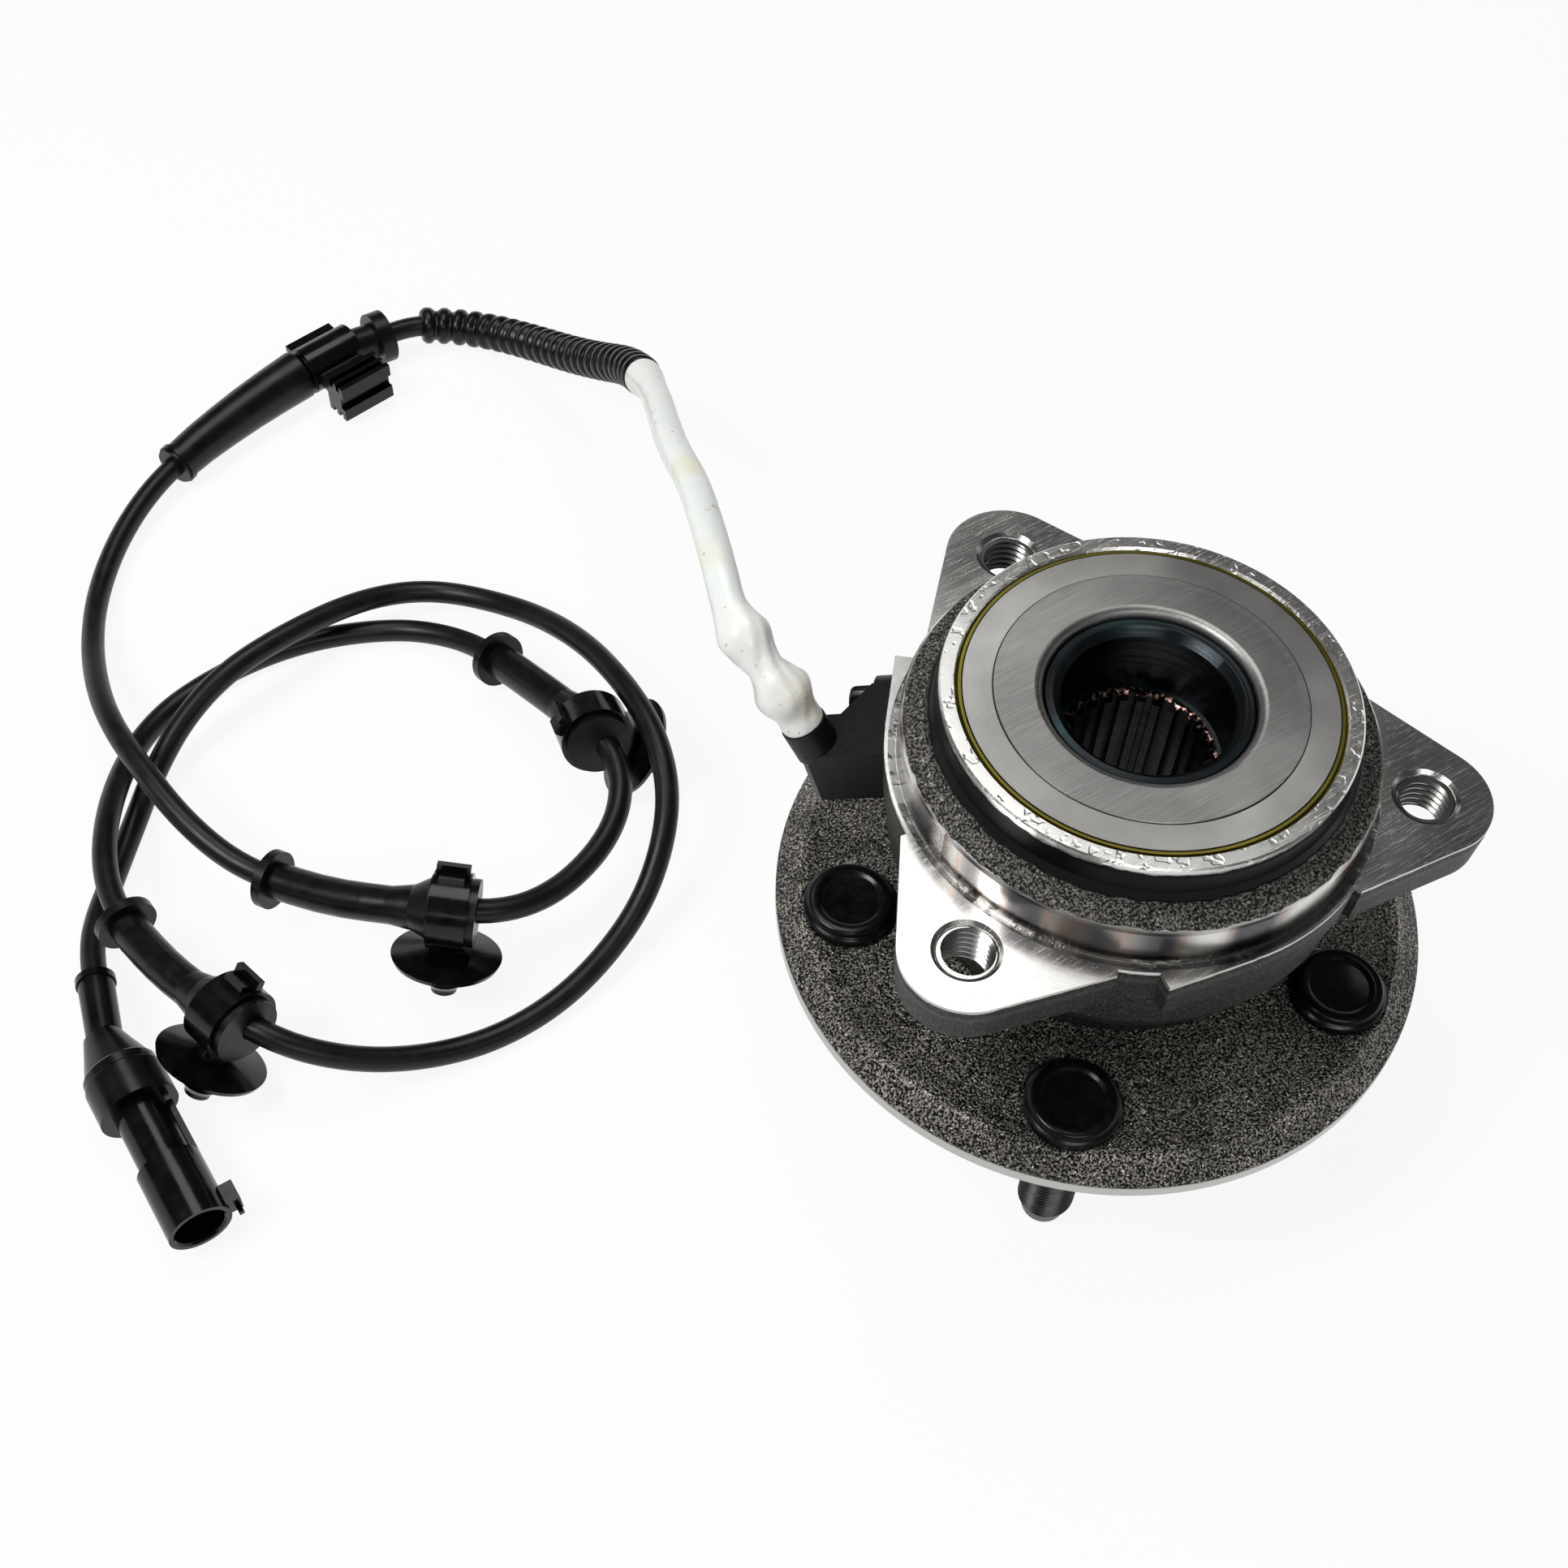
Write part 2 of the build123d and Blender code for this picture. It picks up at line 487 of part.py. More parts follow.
def sensor_body():
    """Moulded sensor body: block, screw ear, web and cable gland."""
    at = sensor_plane()
    width = SENSOR_FRONT - SENSOR_BACK
    block = Pos(SENSOR_REACH / 2, PROBE_Y, SENSOR_MID) * Box(SENSOR_REACH, width, SENSOR_HEIGHT)
    block = chamfer(block.edges().filter_by(Axis.Z).sort_by(Axis.X)[-2:], 1.6)
    block -= Pos(1.4, PROBE_Y, -SENSOR_HEIGHT) * Box(2.8, width + 2, 1.6)
    ear = Rot(0, 90, 0) * Rot(0, 0, 90) * extrude(ear_outline(0.0), EAR_T)
    web = extrude(make_face(Polyline((EAR_T, EAR_Y), (EAR_T + 6.0, SENSOR_BACK), (EAR_T, SENSOR_BACK),
                                     close=True)), -2.2)
    body = at * (block + ear + web)
    start, direction = gland_axis()
    foot = Plane(origin=start - direction * GLAND_LENGTH, z_dir=direction)
    body += foot * Pos(0, 0, GLAND_LENGTH / 2) * Cylinder(GLAND_R, GLAND_LENGTH)
    return body - along_sensor(Pos(EAR_Y, SENSOR_MID) * Circle(SCREW_R + 0.2), -1.0, EAR_T + 3.4)


def probe_reach():
    """Length of the probe inside the outer ring, up to its air gap."""
    tilt = radians(SENSOR_TILT)
    tip_r = TONE_R + PROBE_AIR_GAP + PROBE_R * sin(tilt)
    foot = sensor_plane().from_local_coords(Vector(0, PROBE_Y, SENSOR_MID))
    return (sqrt(foot.X ** 2 + foot.Y ** 2) - tip_r) / cos(tilt)


O_RING_Z = -4.0            # along the probe, from the outer ring's face


def sensor_probe():
    reach = probe_reach()
    stem = Pos(0, 0, -reach / 2) * Cylinder(PROBE_R, reach)
    stem = chamfer(stem.edges().sort_by(Axis.Z)[0], 0.5)
    groove = Pos(0, 0, O_RING_Z) * (Cylinder(PROBE_R + 1, 2.0) - Cylinder(PROBE_R - 1.2, 2.0))
    return on_probe(stem - groove, 0)


def sensor_o_ring():
    return on_probe(Pos(0, 0, O_RING_Z) * Torus(PROBE_R - 0.5, 0.68), 0)


def sensor_screw():
    """Socket cap screw through the sensor's ear."""
    head = Pos(0, 0, EAR_T + SCREW_R) * Cylinder(1.5 * SCREW_R, 2 * SCREW_R)
    head -= Pos(0, 0, EAR_T + SCREW_R + 0.8) * extrude(RegularPolygon(SCREW_R - 0.5, 6), SCREW_R)
    shank = Pos(0, 0, EAR_T / 2 - 5.0) * Cylinder(SCREW_R, EAR_T + 10.0)
    at = sensor_plane()
    origin = at.from_local_coords(Vector(0, EAR_Y, SENSOR_MID))
    return Plane(origin=origin, x_dir=at.y_dir, z_dir=at.x_dir) * (head + shank)


# ----------------------------------------------- the cable and what is on it


def corners(route):
    """Radius, turn in radians and cut-back of each corner of a route."""
    out = []
    for before, corner, after in zip(route, route[1:], route[2:]):
        arrive = Vector(*corner) - Vector(*before)
        leave = Vector(*after) - Vector(*corner)
        turn = radians(arrive.get_angle(leave))
        cut = 0.45 * min(arrive.length, leave.length)
        out.append((cut / tan(turn / 2), turn, cut))
    return out


CORNERS = corners(CABLE_ROUTE)
CABLE = FilletPolyline(*CABLE_ROUTE, radius=[radius for radius, turn, cut in CORNERS])


def route_distances():
    """Distance along the finished cable of each point of its route."""
    distances = [0.0]
    covered = 0.0
    for i, (start, end) in enumerate(zip(CABLE_ROUTE, CABLE_ROUTE[1:])):
        covered += (Vector(*end) - Vector(*start)).length
        if i < len(CORNERS):
            radius, turn, cut = CORNERS[i]
            saved = 2 * cut - radius * turn
            distances.append(covered - saved / 2)
            covered -= saved
        else:
            distances.append(covered)
    return distances


DISTANCES = route_distances()


def along(place):
    """Distance along the cable of a place on its route."""
    run = min(int(place), len(DISTANCES) - 2)
    return DISTANCES[run] + (place - run) * (DISTANCES[run + 1] - DISTANCES[run])


def stretch(start, end):
    """The cable's centre line between two distances from the gland."""
    return CABLE.trim(start / CABLE.length, end / CABLE.length)


def across(distance):
    """Plane square to the cable at a distance from the gland."""
    return Plane(CABLE ^ (distance / CABLE.length))


def tube(path, outer, inner=0.0):
    """Sweep a round section along a path of straight runs and tangent arcs."""
    section = Circle(outer) if inner == 0 else Circle(outer) - Circle(inner)
    return sweep((path ^ 0) * section, path)


def sensor_cable():
    cable = tube(CABLE, CABLE_R)
    expected = CABLE.length * pi * CABLE_R ** 2
    print(f"cable: {CABLE.length:.1f} mm long, volume {cable.volume / expected:.4f} of section times length")
    print("corner radii:", " ".join(f"{radius:.0f}" for radius, turn, cut in CORNERS))
    return cable


def clip_plane(grommet):
    """Plane in the middle of a clip's ring: z along the cable, x to its pin."""
    flange, clip, axis, pin = grommet
    z = Vector(*axis).normalized()
    x = Vector(*pin) - z * Vector(*pin).dot(z)
    return Plane(origin=across(along(clip)).origin, x_dir=x, z_dir=z)


def sleeve_loft(sections):
    """A moulded sleeve through round sections, given as (distance, radius)."""
    faces = []
    for distance, radius in sections:
        middle = across(distance)
        level = Plane(origin=middle.origin, x_dir=Vector(0, 0, 1).cross(middle.z_dir), z_dir=middle.z_dir)
        faces.append(level * Circle(radius))
    return loft(faces, ruled=True)


def bored(body, start, end):
    """Cut the cable's way through a moulding between two distances."""
    return body - tube(stretch(start, end), CABLE_R + CABLE_PLAY)


def heat_sleeve():
    """Heat sleeve, shrunk round the cable and swollen where it was bunched up."""
    start, end = (along(place) for place in SLEEVE_SPAN)
    sections = []
    for i in range(SLEEVE_SECTIONS + 1):
        reach = (end - start) * (i / SLEEVE_SECTIONS) ** 1.6   # closer together near the gland
        swell = sum(wider * exp(-((reach - at) / width) ** 2) for at, wider, width in SLEEVE_SWELLS)
        sections.append((start + reach, SLEEVE_R + swell))
    return bored(sleeve_loft(sections), start - 1, end + 1)


def conduit():
    """Corrugated conduit: a row of ridges."""
    start, end = (along(place) for place in CONDUIT_SPAN)
    pitch = (end - start) / CONDUIT_RIDGES
    sections = []
    for i in range(CONDUIT_RIDGES):
        for part, radius in ((0.0, CONDUIT_VALLEY_R), (0.15, CONDUIT_VALLEY_R), (0.40, CONDUIT_R),
                             (0.75, CONDUIT_R)):
            sections.append((start + (i + part) * pitch, radius))
    sections.append((end, CONDUIT_VALLEY_R))
    return bored(sleeve_loft(sections), start - 1, end + 1)


def long_grommet():
    """Grommet 1: end collar, barrel under the wrap, long taper and thin ring."""
    ring_place, clip, axis, pin = GROMMET_1
    middle, ring = along(clip), along(ring_place)
    barrel_r = WRAP_BORE_R - CABLE_PLAY
    half = WRAP_LENGTH / 2
    body = clip_plane(GROMMET_1) * Cylinder(barrel_r, WRAP_LENGTH + 1.0)
    body += across(middle - half - 8.8) * Cylinder(7.75, 4.5)
    body += sleeve_loft([(middle - half - 10, 5.2), (middle - half - 5, 5.2), (middle - half - 0.2, 5.4)])
    taper = [(middle + half + 0.3, 5.4), (middle + half + 2.0, WRAP_R + 0.25)]
    span = ring - middle - half - 3
    taper += [(middle + half + 3 + span * i / 5, WRAP_R + 0.25 - 0.35 * i) for i in range(6)]
    body += sleeve_loft(taper)
    body += sleeve_loft([(ring - 0.1, 5.5), (ring + 1.8, 5.5)])
    body += across(ring) * Cylinder(6.1, 1.6)
    return bored(body, middle - half - 14, ring + 6)


def grommet(place):
    """A grommet for a push-in clip: flange, sleeve, flare, barrel and end cap."""
    flange, clip = along(place[0]), along(place[1])
    toward = 1 if clip > flange else -1
    barrel_r = CLIP_BORE_R - CABLE_PLAY
    half = CLIP_WIDTH / 2
    back = clip - toward * (half + 0.6)
    span = abs(back - flange)
    body = clip_plane(place) * (Cylinder(barrel_r, CLIP_WIDTH + 1.0)
                                + Pos(0, 0, half + 1.2) * Cylinder(CLIP_BORE_R + 0.1, 1.6))
    steps = (0.0, 0.16, 0.32, 0.48, 0.64, 0.78)
    sections = [across(flange + toward * span * f) * Circle(GROMMET_R) for f in steps]
    sections.append(across(back - toward * 3.6) * Circle(GROMMET_R + 0.9))
    sections.append(clip_plane(place) * Pos(0, 0, -half - 0.2) * Circle(barrel_r - 0.5))
    body += loft(sections, ruled=True)
    body += across(flange) * Cylinder(GROMMET_FLANGE_R, 2.4)
    first, last = sorted((flange - toward * 4, clip + toward * (half + 6)))
    return bored(body, first, last)


def wrap_clip():
    """Clip 1: a wrap round the grommet, its closing plate and a slotted foot."""
    neck = Pos(WRAP_R + 2.4, 0, 0) * Box(6.5, 5.0, WRAP_LENGTH - 3)
    foot = Pos(FOOT_REACH - 4.0, 0, 0) * Box(8.0, 12.0, WRAP_LENGTH)
    slot = Box(1.6, 3.0, WRAP_LENGTH + 1)
    for x in (FOOT_REACH - 5.4, FOOT_REACH - 2.4):
        foot -= Pos(x, 5.5, 0) * slot + Pos(x, -5.5, 0) * slot
    foot -= Pos(FOOT_REACH, 0, 0) * Box(3.0, 4.0, WRAP_LENGTH + 1)
    plate = Pos(-WRAP_R - 1.2, 1.4, 0) * Box(4.4, 2.0, WRAP_LENGTH - 1.5)
    body = Cylinder(WRAP_R, WRAP_LENGTH) + neck + foot + plate
    return clip_plane(GROMMET_1) * (body - Cylinder(WRAP_BORE_R, WRAP_LENGTH + 2))


def push_clip(place):
    """Clips 2 to 4: ring with a latch, stem, umbrella and barbed pin along x."""
    rim = UMBRELLA_X
    outline = [(CLIP_R - 0.9, 0), (CLIP_R - 0.9, 4.4), (rim - 2.6, 4.4), (rim - 0.6, UMBRELLA_R),
               (rim + 0.5, UMBRELLA_R - 0.4), (rim - 1.3, 4.0), (rim - 1.3, PIN_R)]
    barbs = 3
    pitch = (PIN_END - rim - 1.2) / barbs
    for i in range(barbs):
        x = rim + 0.2 + i * pitch
        outline += [(x, PIN_R), (x + 0.3, PIN_R + 1.7), (x + pitch * 0.8, PIN_R + 0.1)]
    outline += [(PIN_END - 0.6, PIN_R), (PIN_END, PIN_R - 0.8), (PIN_END, 0)]
    pin = revolve(make_face(Polyline(*outline, close=True)), Axis.X)
    latch = Pos(-CLIP_R - 0.9, 0.9, 0) * Box(3.4, 1.8, CLIP_WIDTH - 1.0)
    latch += Pos(-CLIP_R - 0.1, -1.9, 0) * Box(1.9, 3.2, CLIP_WIDTH - 3.0)
    body = Cylinder(CLIP_R, CLIP_WIDTH) + pin + latch
    return clip_plane(place) * (body - Cylinder(CLIP_BORE_R, CLIP_WIDTH + 2))


# -------------------------------------------------------------- the connector


def on_connector(shape, y=0.0):
    """Set a piece turned about Z on the connector's axis, +Z towards its boot."""
    return Plane(origin=(CONNECTOR_X, y, CONNECTOR_Z), x_dir=(1, 0, 0), z_dir=(0, 1, 0)) * shape


def connector_section(radius, y):
    return Plane(origin=(CONNECTOR_X, y, CONNECTOR_Z), z_dir=(0, 1, 0)) * Circle(radius)


def connector_boot():
    """Rubber boot: neck with a rim at the cable, flare and wide collar."""
    end = Plane(origin=CABLE @ 1, z_dir=-(CABLE % 1))
    neck_end = CONNECTOR_COLLAR_Y + 20.0
    neck = loft([end.offset(-0.6) * Circle(NECK_R), connector_section(NECK_R, neck_end)], ruled=True)
    rim = end * Pos(0, 0, -0.9) * Cylinder(NECK_R + 0.4, 1.8)
    flare = on_connector(turned([
        (0, 0), (BOOT_R, 0), (BOOT_R, 9.0), (BOOT_R - 0.5, 9.6), (BOOT_R - 0.5, 11.6), (BOOT_R - 1.0, 12.2),
        (BOOT_R - 3.0, 17.5), (NECK_R + 0.1, 22.5), (0, 22.5)]), CONNECTOR_COLLAR_Y)
    seat = on_connector(Pos(0, 0, 2.9) * Cylinder(SPIGOT_R + CABLE_PLAY, 6.2), CONNECTOR_COLLAR_Y)
    return neck + rim + flare - seat


def connector_shell():
    """Hard shell: spigot in the boot, barrel, wider mouth, rail and lock tab."""
    mouth = CONNECTOR_MOUTH_Y
    step = CONNECTOR_STEP_Y - mouth
    back = CONNECTOR_COLLAR_Y - mouth
    floor = SOCKET_DEPTH
    body = turned([(0, floor), (SOCKET_R, floor), (SOCKET_R, 0.5), (SOCKET_R + 0.5, 0), (CONNECTOR_R, 0),
                   (CONNECTOR_R, step), (BARREL_R, step + 0.8), (BARREL_R, back), (SPIGOT_R, back),
                   (SPIGOT_R, back + 5.7), (0, back + 5.7)])
    rail = Pos(BARREL_R + 0.3, 0, (back + 3) / 2) * Box(1.9, 1.4, back - 5)
    tab = Pos(CONNECTOR_R + 1.2, 0, 3.6) * Box(3.4, 5.0, 5.0)
    tab += Pos(CONNECTOR_R + 1.9, 1.6, 1.0) * Box(1.2, 1.2, 3.2)
    holes = terminal_bars(TERMINAL_R + CABLE_PLAY, floor - 1, back + 7)
    body = body + rail + tab - Pos(0, 0, floor / 2 - 0.5) * Cylinder(SOCKET_R, floor + 1)
    return on_connector(body - holes, mouth)


def terminal_bars(radius, start, end):
    """Two round bars side by side in the connector, between two depths."""
    bar = Pos(0, 0, (start + end) / 2) * Cylinder(radius, end - start)
    return [Pos(x, 0, 0) * bar for x in (-PIN_X, PIN_X)]


def connector_pins():
    floor = SOCKET_DEPTH
    bars = terminal_bars(TERMINAL_R, floor - 10.5, floor + 14.0)
    return on_connector(Compound(children=bars), CONNECTOR_MOUTH_Y)


for node, make in [
    ("bearing_housing", bearing_housing),
    ("hub", hub),
    ("wheel_studs", wheel_studs),
    ("tone_ring", tone_ring),
    ("sensor_body", sensor_body),
    ("sensor_probe", sensor_probe),
    ("sensor_o_ring", sensor_o_ring),
    ("sensor_screw", sensor_screw),
    ("sensor_cable", sensor_cable),
    ("heat_sleeve", heat_sleeve),
    ("conduit", conduit),
    ("grommet_1", long_grommet),
    ("clip_1", wrap_clip),
    ("connector_boot", connector_boot),
    ("connector_shell", connector_shell),
    ("connector_pins", connector_pins),
]:
    write(node, make())

for node, make in [
    ("cone", inner_ring),
    ("rollers", roller_set),
    ("cage", cage),
    ("seal_case", seal_case),
    ("seal_lip", seal_lip),
    ("seal_flinger", seal_flinger),
]:
    piece = make()
    write(f"inboard_{node}", piece)
    write(f"outboard_{node}", mirrored(piece))

for number, place in enumerate((GROMMET_2, GROMMET_3, GROMMET_4), start=2):
    write(f"grommet_{number}", grommet(place))
    write(f"clip_{number}", push_clip(place))
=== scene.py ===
from math import atan2, cos, exp, pi, radians, sin

import bpy
from mathutils import Matrix, Vector


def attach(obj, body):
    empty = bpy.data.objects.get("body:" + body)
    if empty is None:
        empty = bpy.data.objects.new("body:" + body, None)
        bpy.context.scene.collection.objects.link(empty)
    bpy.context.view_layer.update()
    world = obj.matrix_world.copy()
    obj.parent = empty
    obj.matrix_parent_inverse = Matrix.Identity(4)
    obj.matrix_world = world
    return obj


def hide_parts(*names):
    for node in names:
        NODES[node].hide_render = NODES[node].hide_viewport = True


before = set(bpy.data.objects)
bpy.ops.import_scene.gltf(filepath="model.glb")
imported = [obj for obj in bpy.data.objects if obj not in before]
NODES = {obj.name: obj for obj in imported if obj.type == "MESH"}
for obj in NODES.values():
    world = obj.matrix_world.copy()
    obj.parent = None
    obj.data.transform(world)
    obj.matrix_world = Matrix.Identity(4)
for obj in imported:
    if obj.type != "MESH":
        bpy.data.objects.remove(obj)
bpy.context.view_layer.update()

bl_info = {
    "name": "Wheel Hub Bearing",
    "version": (1, 0, 0),
    "blender": (4, 5, 0),
    "location": "3D View > Sidebar > Hub",
    "description": "Fine pieces and finishes of a wheel hub bearing and its sensor harness",
    "category": "Object",
}

FLOOR_Z = -0.040
STUD_CIRCLE_R = 0.05715
STUD_FIRST = 154.46
STUD_SEAT_Z = 0.0073
KNUCKLE_FACE_Z = 0.05567
KNUCKLE_HOLE_CIRCLE_R = 0.06067
KNUCKLE_HOLE_FIRST = 79.16
RING_SEAM_R = 0.0321

# Route of the sensor cable in millimetres, from the gland to the connector.
CABLE_ROUTE = [
    (-51.5, 47.0, 50.5), (-54.0, 51.0, 58.0), (-56.5, 58.0, 64.5), (-57.0, 68.0, 68.5),
    (-53.0, 79.0, 70.5), (-47.5, 93.0, 68.0), (-40.5, 109.5, 62.0), (-34.5, 128.5, 53.0),
    (-25.5, 148.0, 41.5), (-16.5, 167.0, 29.5), (-9.0, 185.0, 18.0), (-4.5, 202.5, 7.0),
    (-4.0, 218.5, -4.5), (-4.5, 237.0, -16.0), (-7.0, 257.5, -26.0), (-11.0, 271.5, -31.5),
    (-18.2, 282.2, -34.0), (-30.0, 288.6, -32.5), (-45.2, 288.2, -31.7), (-64.2, 286.5, -31.0),
    (-87.3, 281.2, -32.0), (-108.6, 274.4, -33.1), (-125.2, 266.4, -34.0), (-140.3, 254.5, -35.7),
    (-153.0, 238.5, -36.5), (-161.5, 218.5, -32.5), (-166.5, 197.0, -25.5), (-168.0, 179.5, -21.0),
    (-167.0, 164.5, -20.0), (-165.0, 148.5, -21.5), (-160.5, 134.0, -24.0), (-154.0, 122.5, -25.0),
    (-143.5, 106.7, -21.5), (-133.0, 94.5, -17.5), (-122.0, 85.0, -16.2), (-110.5, 79.2, -18.0),
    (-97.5, 80.2, -21.5), (-84.0, 85.2, -23.0), (-73.5, 92.0, -22.5), (-66.8, 101.0, -21.0),
    (-64.6, 112.5, -20.4), (-67.3, 129.7, -22.8), (-70.2, 148.8, -28.0), (-73.5, 168.0, -33.0),
    (-82.5, 182.5, -36.5), (-94.5, 190.0, -37.0), (-108.5, 195.0, -37.0), (-123.5, 197.0, -37.0),
    (-139.0, 196.0, -37.0), (-153.0, 192.5, -37.0), (-165.0, 183.5, -35.0), (-176.0, 167.5, -29.0),
    (-184.5, 150.0, -24.5), (-188.2, 135.0, -23.5), (-187.5, 122.8, -23.5), (-184.7, 107.3, -21.3),
    (-179.8, 93.0, -19.8), (-173.5, 80.8, -20.3), (-166.0, 73.0, -24.0), (-154.5, 67.0, -30.0),
    (-140.5, 63.0, -35.0), (-125.5, 60.5, -37.0), (-109.0, 61.0, -36.5), (-93.5, 65.0, -34.5),
    (-79.4, 70.5, -29.0), (-68.3, 78.7, -22.0), (-60.0, 89.5, -17.0), (-55.4, 103.3, -13.5),
    (-53.4, 121.3, -14.5), (-53.0, 142.7, -20.0), (-55.9, 162.4, -27.0), (-62.5, 178.0, -32.0),
    (-72.0, 189.5, -33.5), (-83.5, 194.5, -32.0), (-98.5, 194.0, -28.0), (-117.5, 190.5, -25.0),
    (-135.5, 186.5, -24.5), (-150.0, 182.0, -29.0), (-162.5, 174.5, -34.5), (-174.5, 162.0, -37.0),
    (-184.5, 150.0, -36.5), (-193.0, 138.5, -34.0), (-197.5, 129.5, -32.5), (-199.5, 121.5, -31.5),
]
# Place of the sensor and of its screw, which lies across and below the sensor's edge.
SENSOR_AZIMUTH = 139.16
SENSOR_TILT = 17.0
SENSOR_R = 0.0521
SENSOR_Z = 0.0510
SENSOR_SCREW_ACROSS = -0.0158
SENSOR_SCREW_UP = -0.0075
SLEEVE_SPAN = (0.05, 10.2)
# Each swell: distance from the gland, how much wider, and its reach to each side.
SLEEVE_SWELLS = [
    (0.0, 0.0011, 0.0040), (0.0090, 0.0027, 0.0042), (0.0235, 0.0020, 0.0046), (0.172, 0.0013, 0.012),
]
SLEEVE_KNOB_SIDE = Vector((0.8, 0.6))   # direction across the sleeve in which it bulges
CONDUIT_SPAN = (10.23, 16.85)


# ------------------------------------------------------------------ settings


def length(name, description, default):
    return bpy.props.FloatProperty(
        name=name, description=description, default=default, min=0.0, unit="LENGTH", precision=5)


def colour(name, description, default):
    return bpy.props.FloatVectorProperty(
        name=name, description=description, default=default, size=4, min=0.0, max=1.0, subtype="COLOR")


class HubSizes(bpy.types.PropertyGroup):
    """Sizes of the pieces that are modelled on top of the solid parts."""

    stud_radius: length("Stud thread radius", "Outer radius of the wheel studs' thread", 0.00635)
    stud_pitch: length("Stud thread pitch", "Distance between two ridges of that thread", 0.00127)
    hole_radius: length("Knuckle hole radius", "Outer radius of the thread in the flange's holes", 0.0060)
    hole_pitch: length("Knuckle hole pitch", "Distance between two ridges of that thread", 0.00175)
    cable_diameter: length("Cable diameter", "Over the rubber jacket", 0.0060)
    sleeve_radius: length("Sleeve radius", "Of the heat sleeve between its swells", 0.00375)
    conduit_radius: length("Conduit radius", "Over the ridges of the split conduit", 0.0054)
    conduit_ridges: bpy.props.IntProperty(
        name="Conduit ridges", description="Ridges along the whole conduit", default=25, min=4)


class HubColours(bpy.types.PropertyGroup):
    """Base colours of the finishes."""

    steel: colour("Machined steel", "Turned and ground faces", (0.56, 0.55, 0.53, 1))
    forging: colour("Forging", "Rough forged and cast faces", (0.125, 0.118, 0.105, 1))
    neck: colour("Neck", "Dark, unmachined neck under the rim", (0.012, 0.012, 0.013, 1))
    # The neck colour is a painted dark reflection: a near-black metal in place of the dark surroundings that
    # the unmachined neck reflects.
    spindle: colour("Spindle end", "Hardened end of the spindle", (0.060, 0.070, 0.078, 1))
    olive: colour("Seal ring", "Coating of the seal case", (0.20, 0.17, 0.035, 1))
    stud: colour("Stud", "Black finish of the studs and the screw", (0.004, 0.004, 0.005, 1))
    rubber: colour("Rubber", "Cable jacket and grommets", (0.0045, 0.0045, 0.005, 1))
    plastic: colour("Plastic", "Clips, connector and sensor", (0.004, 0.004, 0.0045, 1))
    sleeve: colour("Heat sleeve", "White silicone sleeve", (0.93, 0.925, 0.89, 1))
    brass: colour("Terminals", "Plated terminals", (0.60, 0.42, 0.16, 1))


class StudioSettings(bpy.types.PropertyGroup):
    """Light and background."""

    key_power: bpy.props.FloatProperty(
        name="Key light", description="Power of the large softbox", default=6.0, min=0.0, unit="POWER")
    side_power: bpy.props.FloatProperty(
        name="Side light", description="Power of the side softbox", default=8.5, min=0.0, unit="POWER")
    room_level: bpy.props.FloatProperty(
        name="Room level", description="Brightness of the room all round", default=0.075, min=0.0)
    floor_white: colour("Floor", "Colour of the seamless floor", (0.93, 0.93, 0.93, 1))


# -------------------------------------------------------------- node helpers


def node(tree, kind, inputs=None, **settings):
    """Adds a node; each input is given a value or joined to another node's socket."""
    made = tree.nodes.new(kind)
    for key, value in settings.items():
        setattr(made, key, value)
    for key, value in (inputs or {}).items():
        socket = made.inputs[key]
        if isinstance(value, bpy.types.NodeSocket):
            tree.links.new(value, socket)
        else:
            socket.default_value = value
    return made


def calc(tree, operation, *values):
    """One step of arithmetic on values and sockets."""
    return node(tree, "ShaderNodeMath", dict(enumerate(values)), operation=operation).outputs[0]


def ramp(tree, value, low, high, out_low=0.0, out_high=1.0):
    """A smooth step from one value to another while the input goes from low to high."""
    made = node(tree, "ShaderNodeMapRange", {
        "Value": value, "From Min": low, "From Max": high, "To Min": out_low, "To Max": out_high},
        interpolation_type="SMOOTHSTEP")
    return made.outputs["Result"]


def band(tree, value, low, high, soft=0.0001):
    """1 between two limits, 0 outside them."""
    above = ramp(tree, value, low - soft, low + soft)
    below = ramp(tree, value, high - soft, high + soft, 1.0, 0.0)
    return calc(tree, "MULTIPLY", above, below)


def mixed(tree, factor, first, second):
    """A colour that runs from first to second with the factor."""
    return node(tree, "ShaderNodeMix", {0: factor, 6: first, 7: second}, data_type="RGBA").outputs[2]


def between(tree, factor, first, second):
    """A number that runs from first to second with the factor."""
    return node(tree, "ShaderNodeMix", {0: factor, 2: first, 3: second}).outputs[0]


def shade(rgba, times):
    """A colour made darker or lighter."""
    return tuple(min(1.0, part * times) for part in rgba[:3]) + (1.0,)


def effect(name, inputs, outputs):
    """An empty node group with named sockets, for one effect that finishes share."""
    tree = bpy.data.node_groups.new(name, "ShaderNodeTree")
    for label, default in inputs.items():
        socket = tree.interface.new_socket(label, in_out="INPUT", socket_type="NodeSocketFloat")
        socket.default_value = default
    for label in outputs:
        tree.interface.new_socket(label, in_out="OUTPUT", socket_type="NodeSocketFloat")
    return tree, tree.nodes.new("NodeGroupInput").outputs, tree.nodes.new("NodeGroupOutput").inputs


def use(tree, name, **inputs):
    """Places a shared effect in a material."""
    made = tree.nodes.new("ShaderNodeGroup")
    made.node_tree = bpy.data.node_groups[name]
    for label, value in inputs.items():
        socket = made.inputs[label.replace("_", " ")]
        if isinstance(value, bpy.types.NodeSocket):
            tree.links.new(value, socket)
        else:
            socket.default_value = value
    return made.outputs


def object_place(tree):
    """The point's place in the object's own coordinates."""
    return node(tree, "ShaderNodeTexCoord").outputs["Object"]


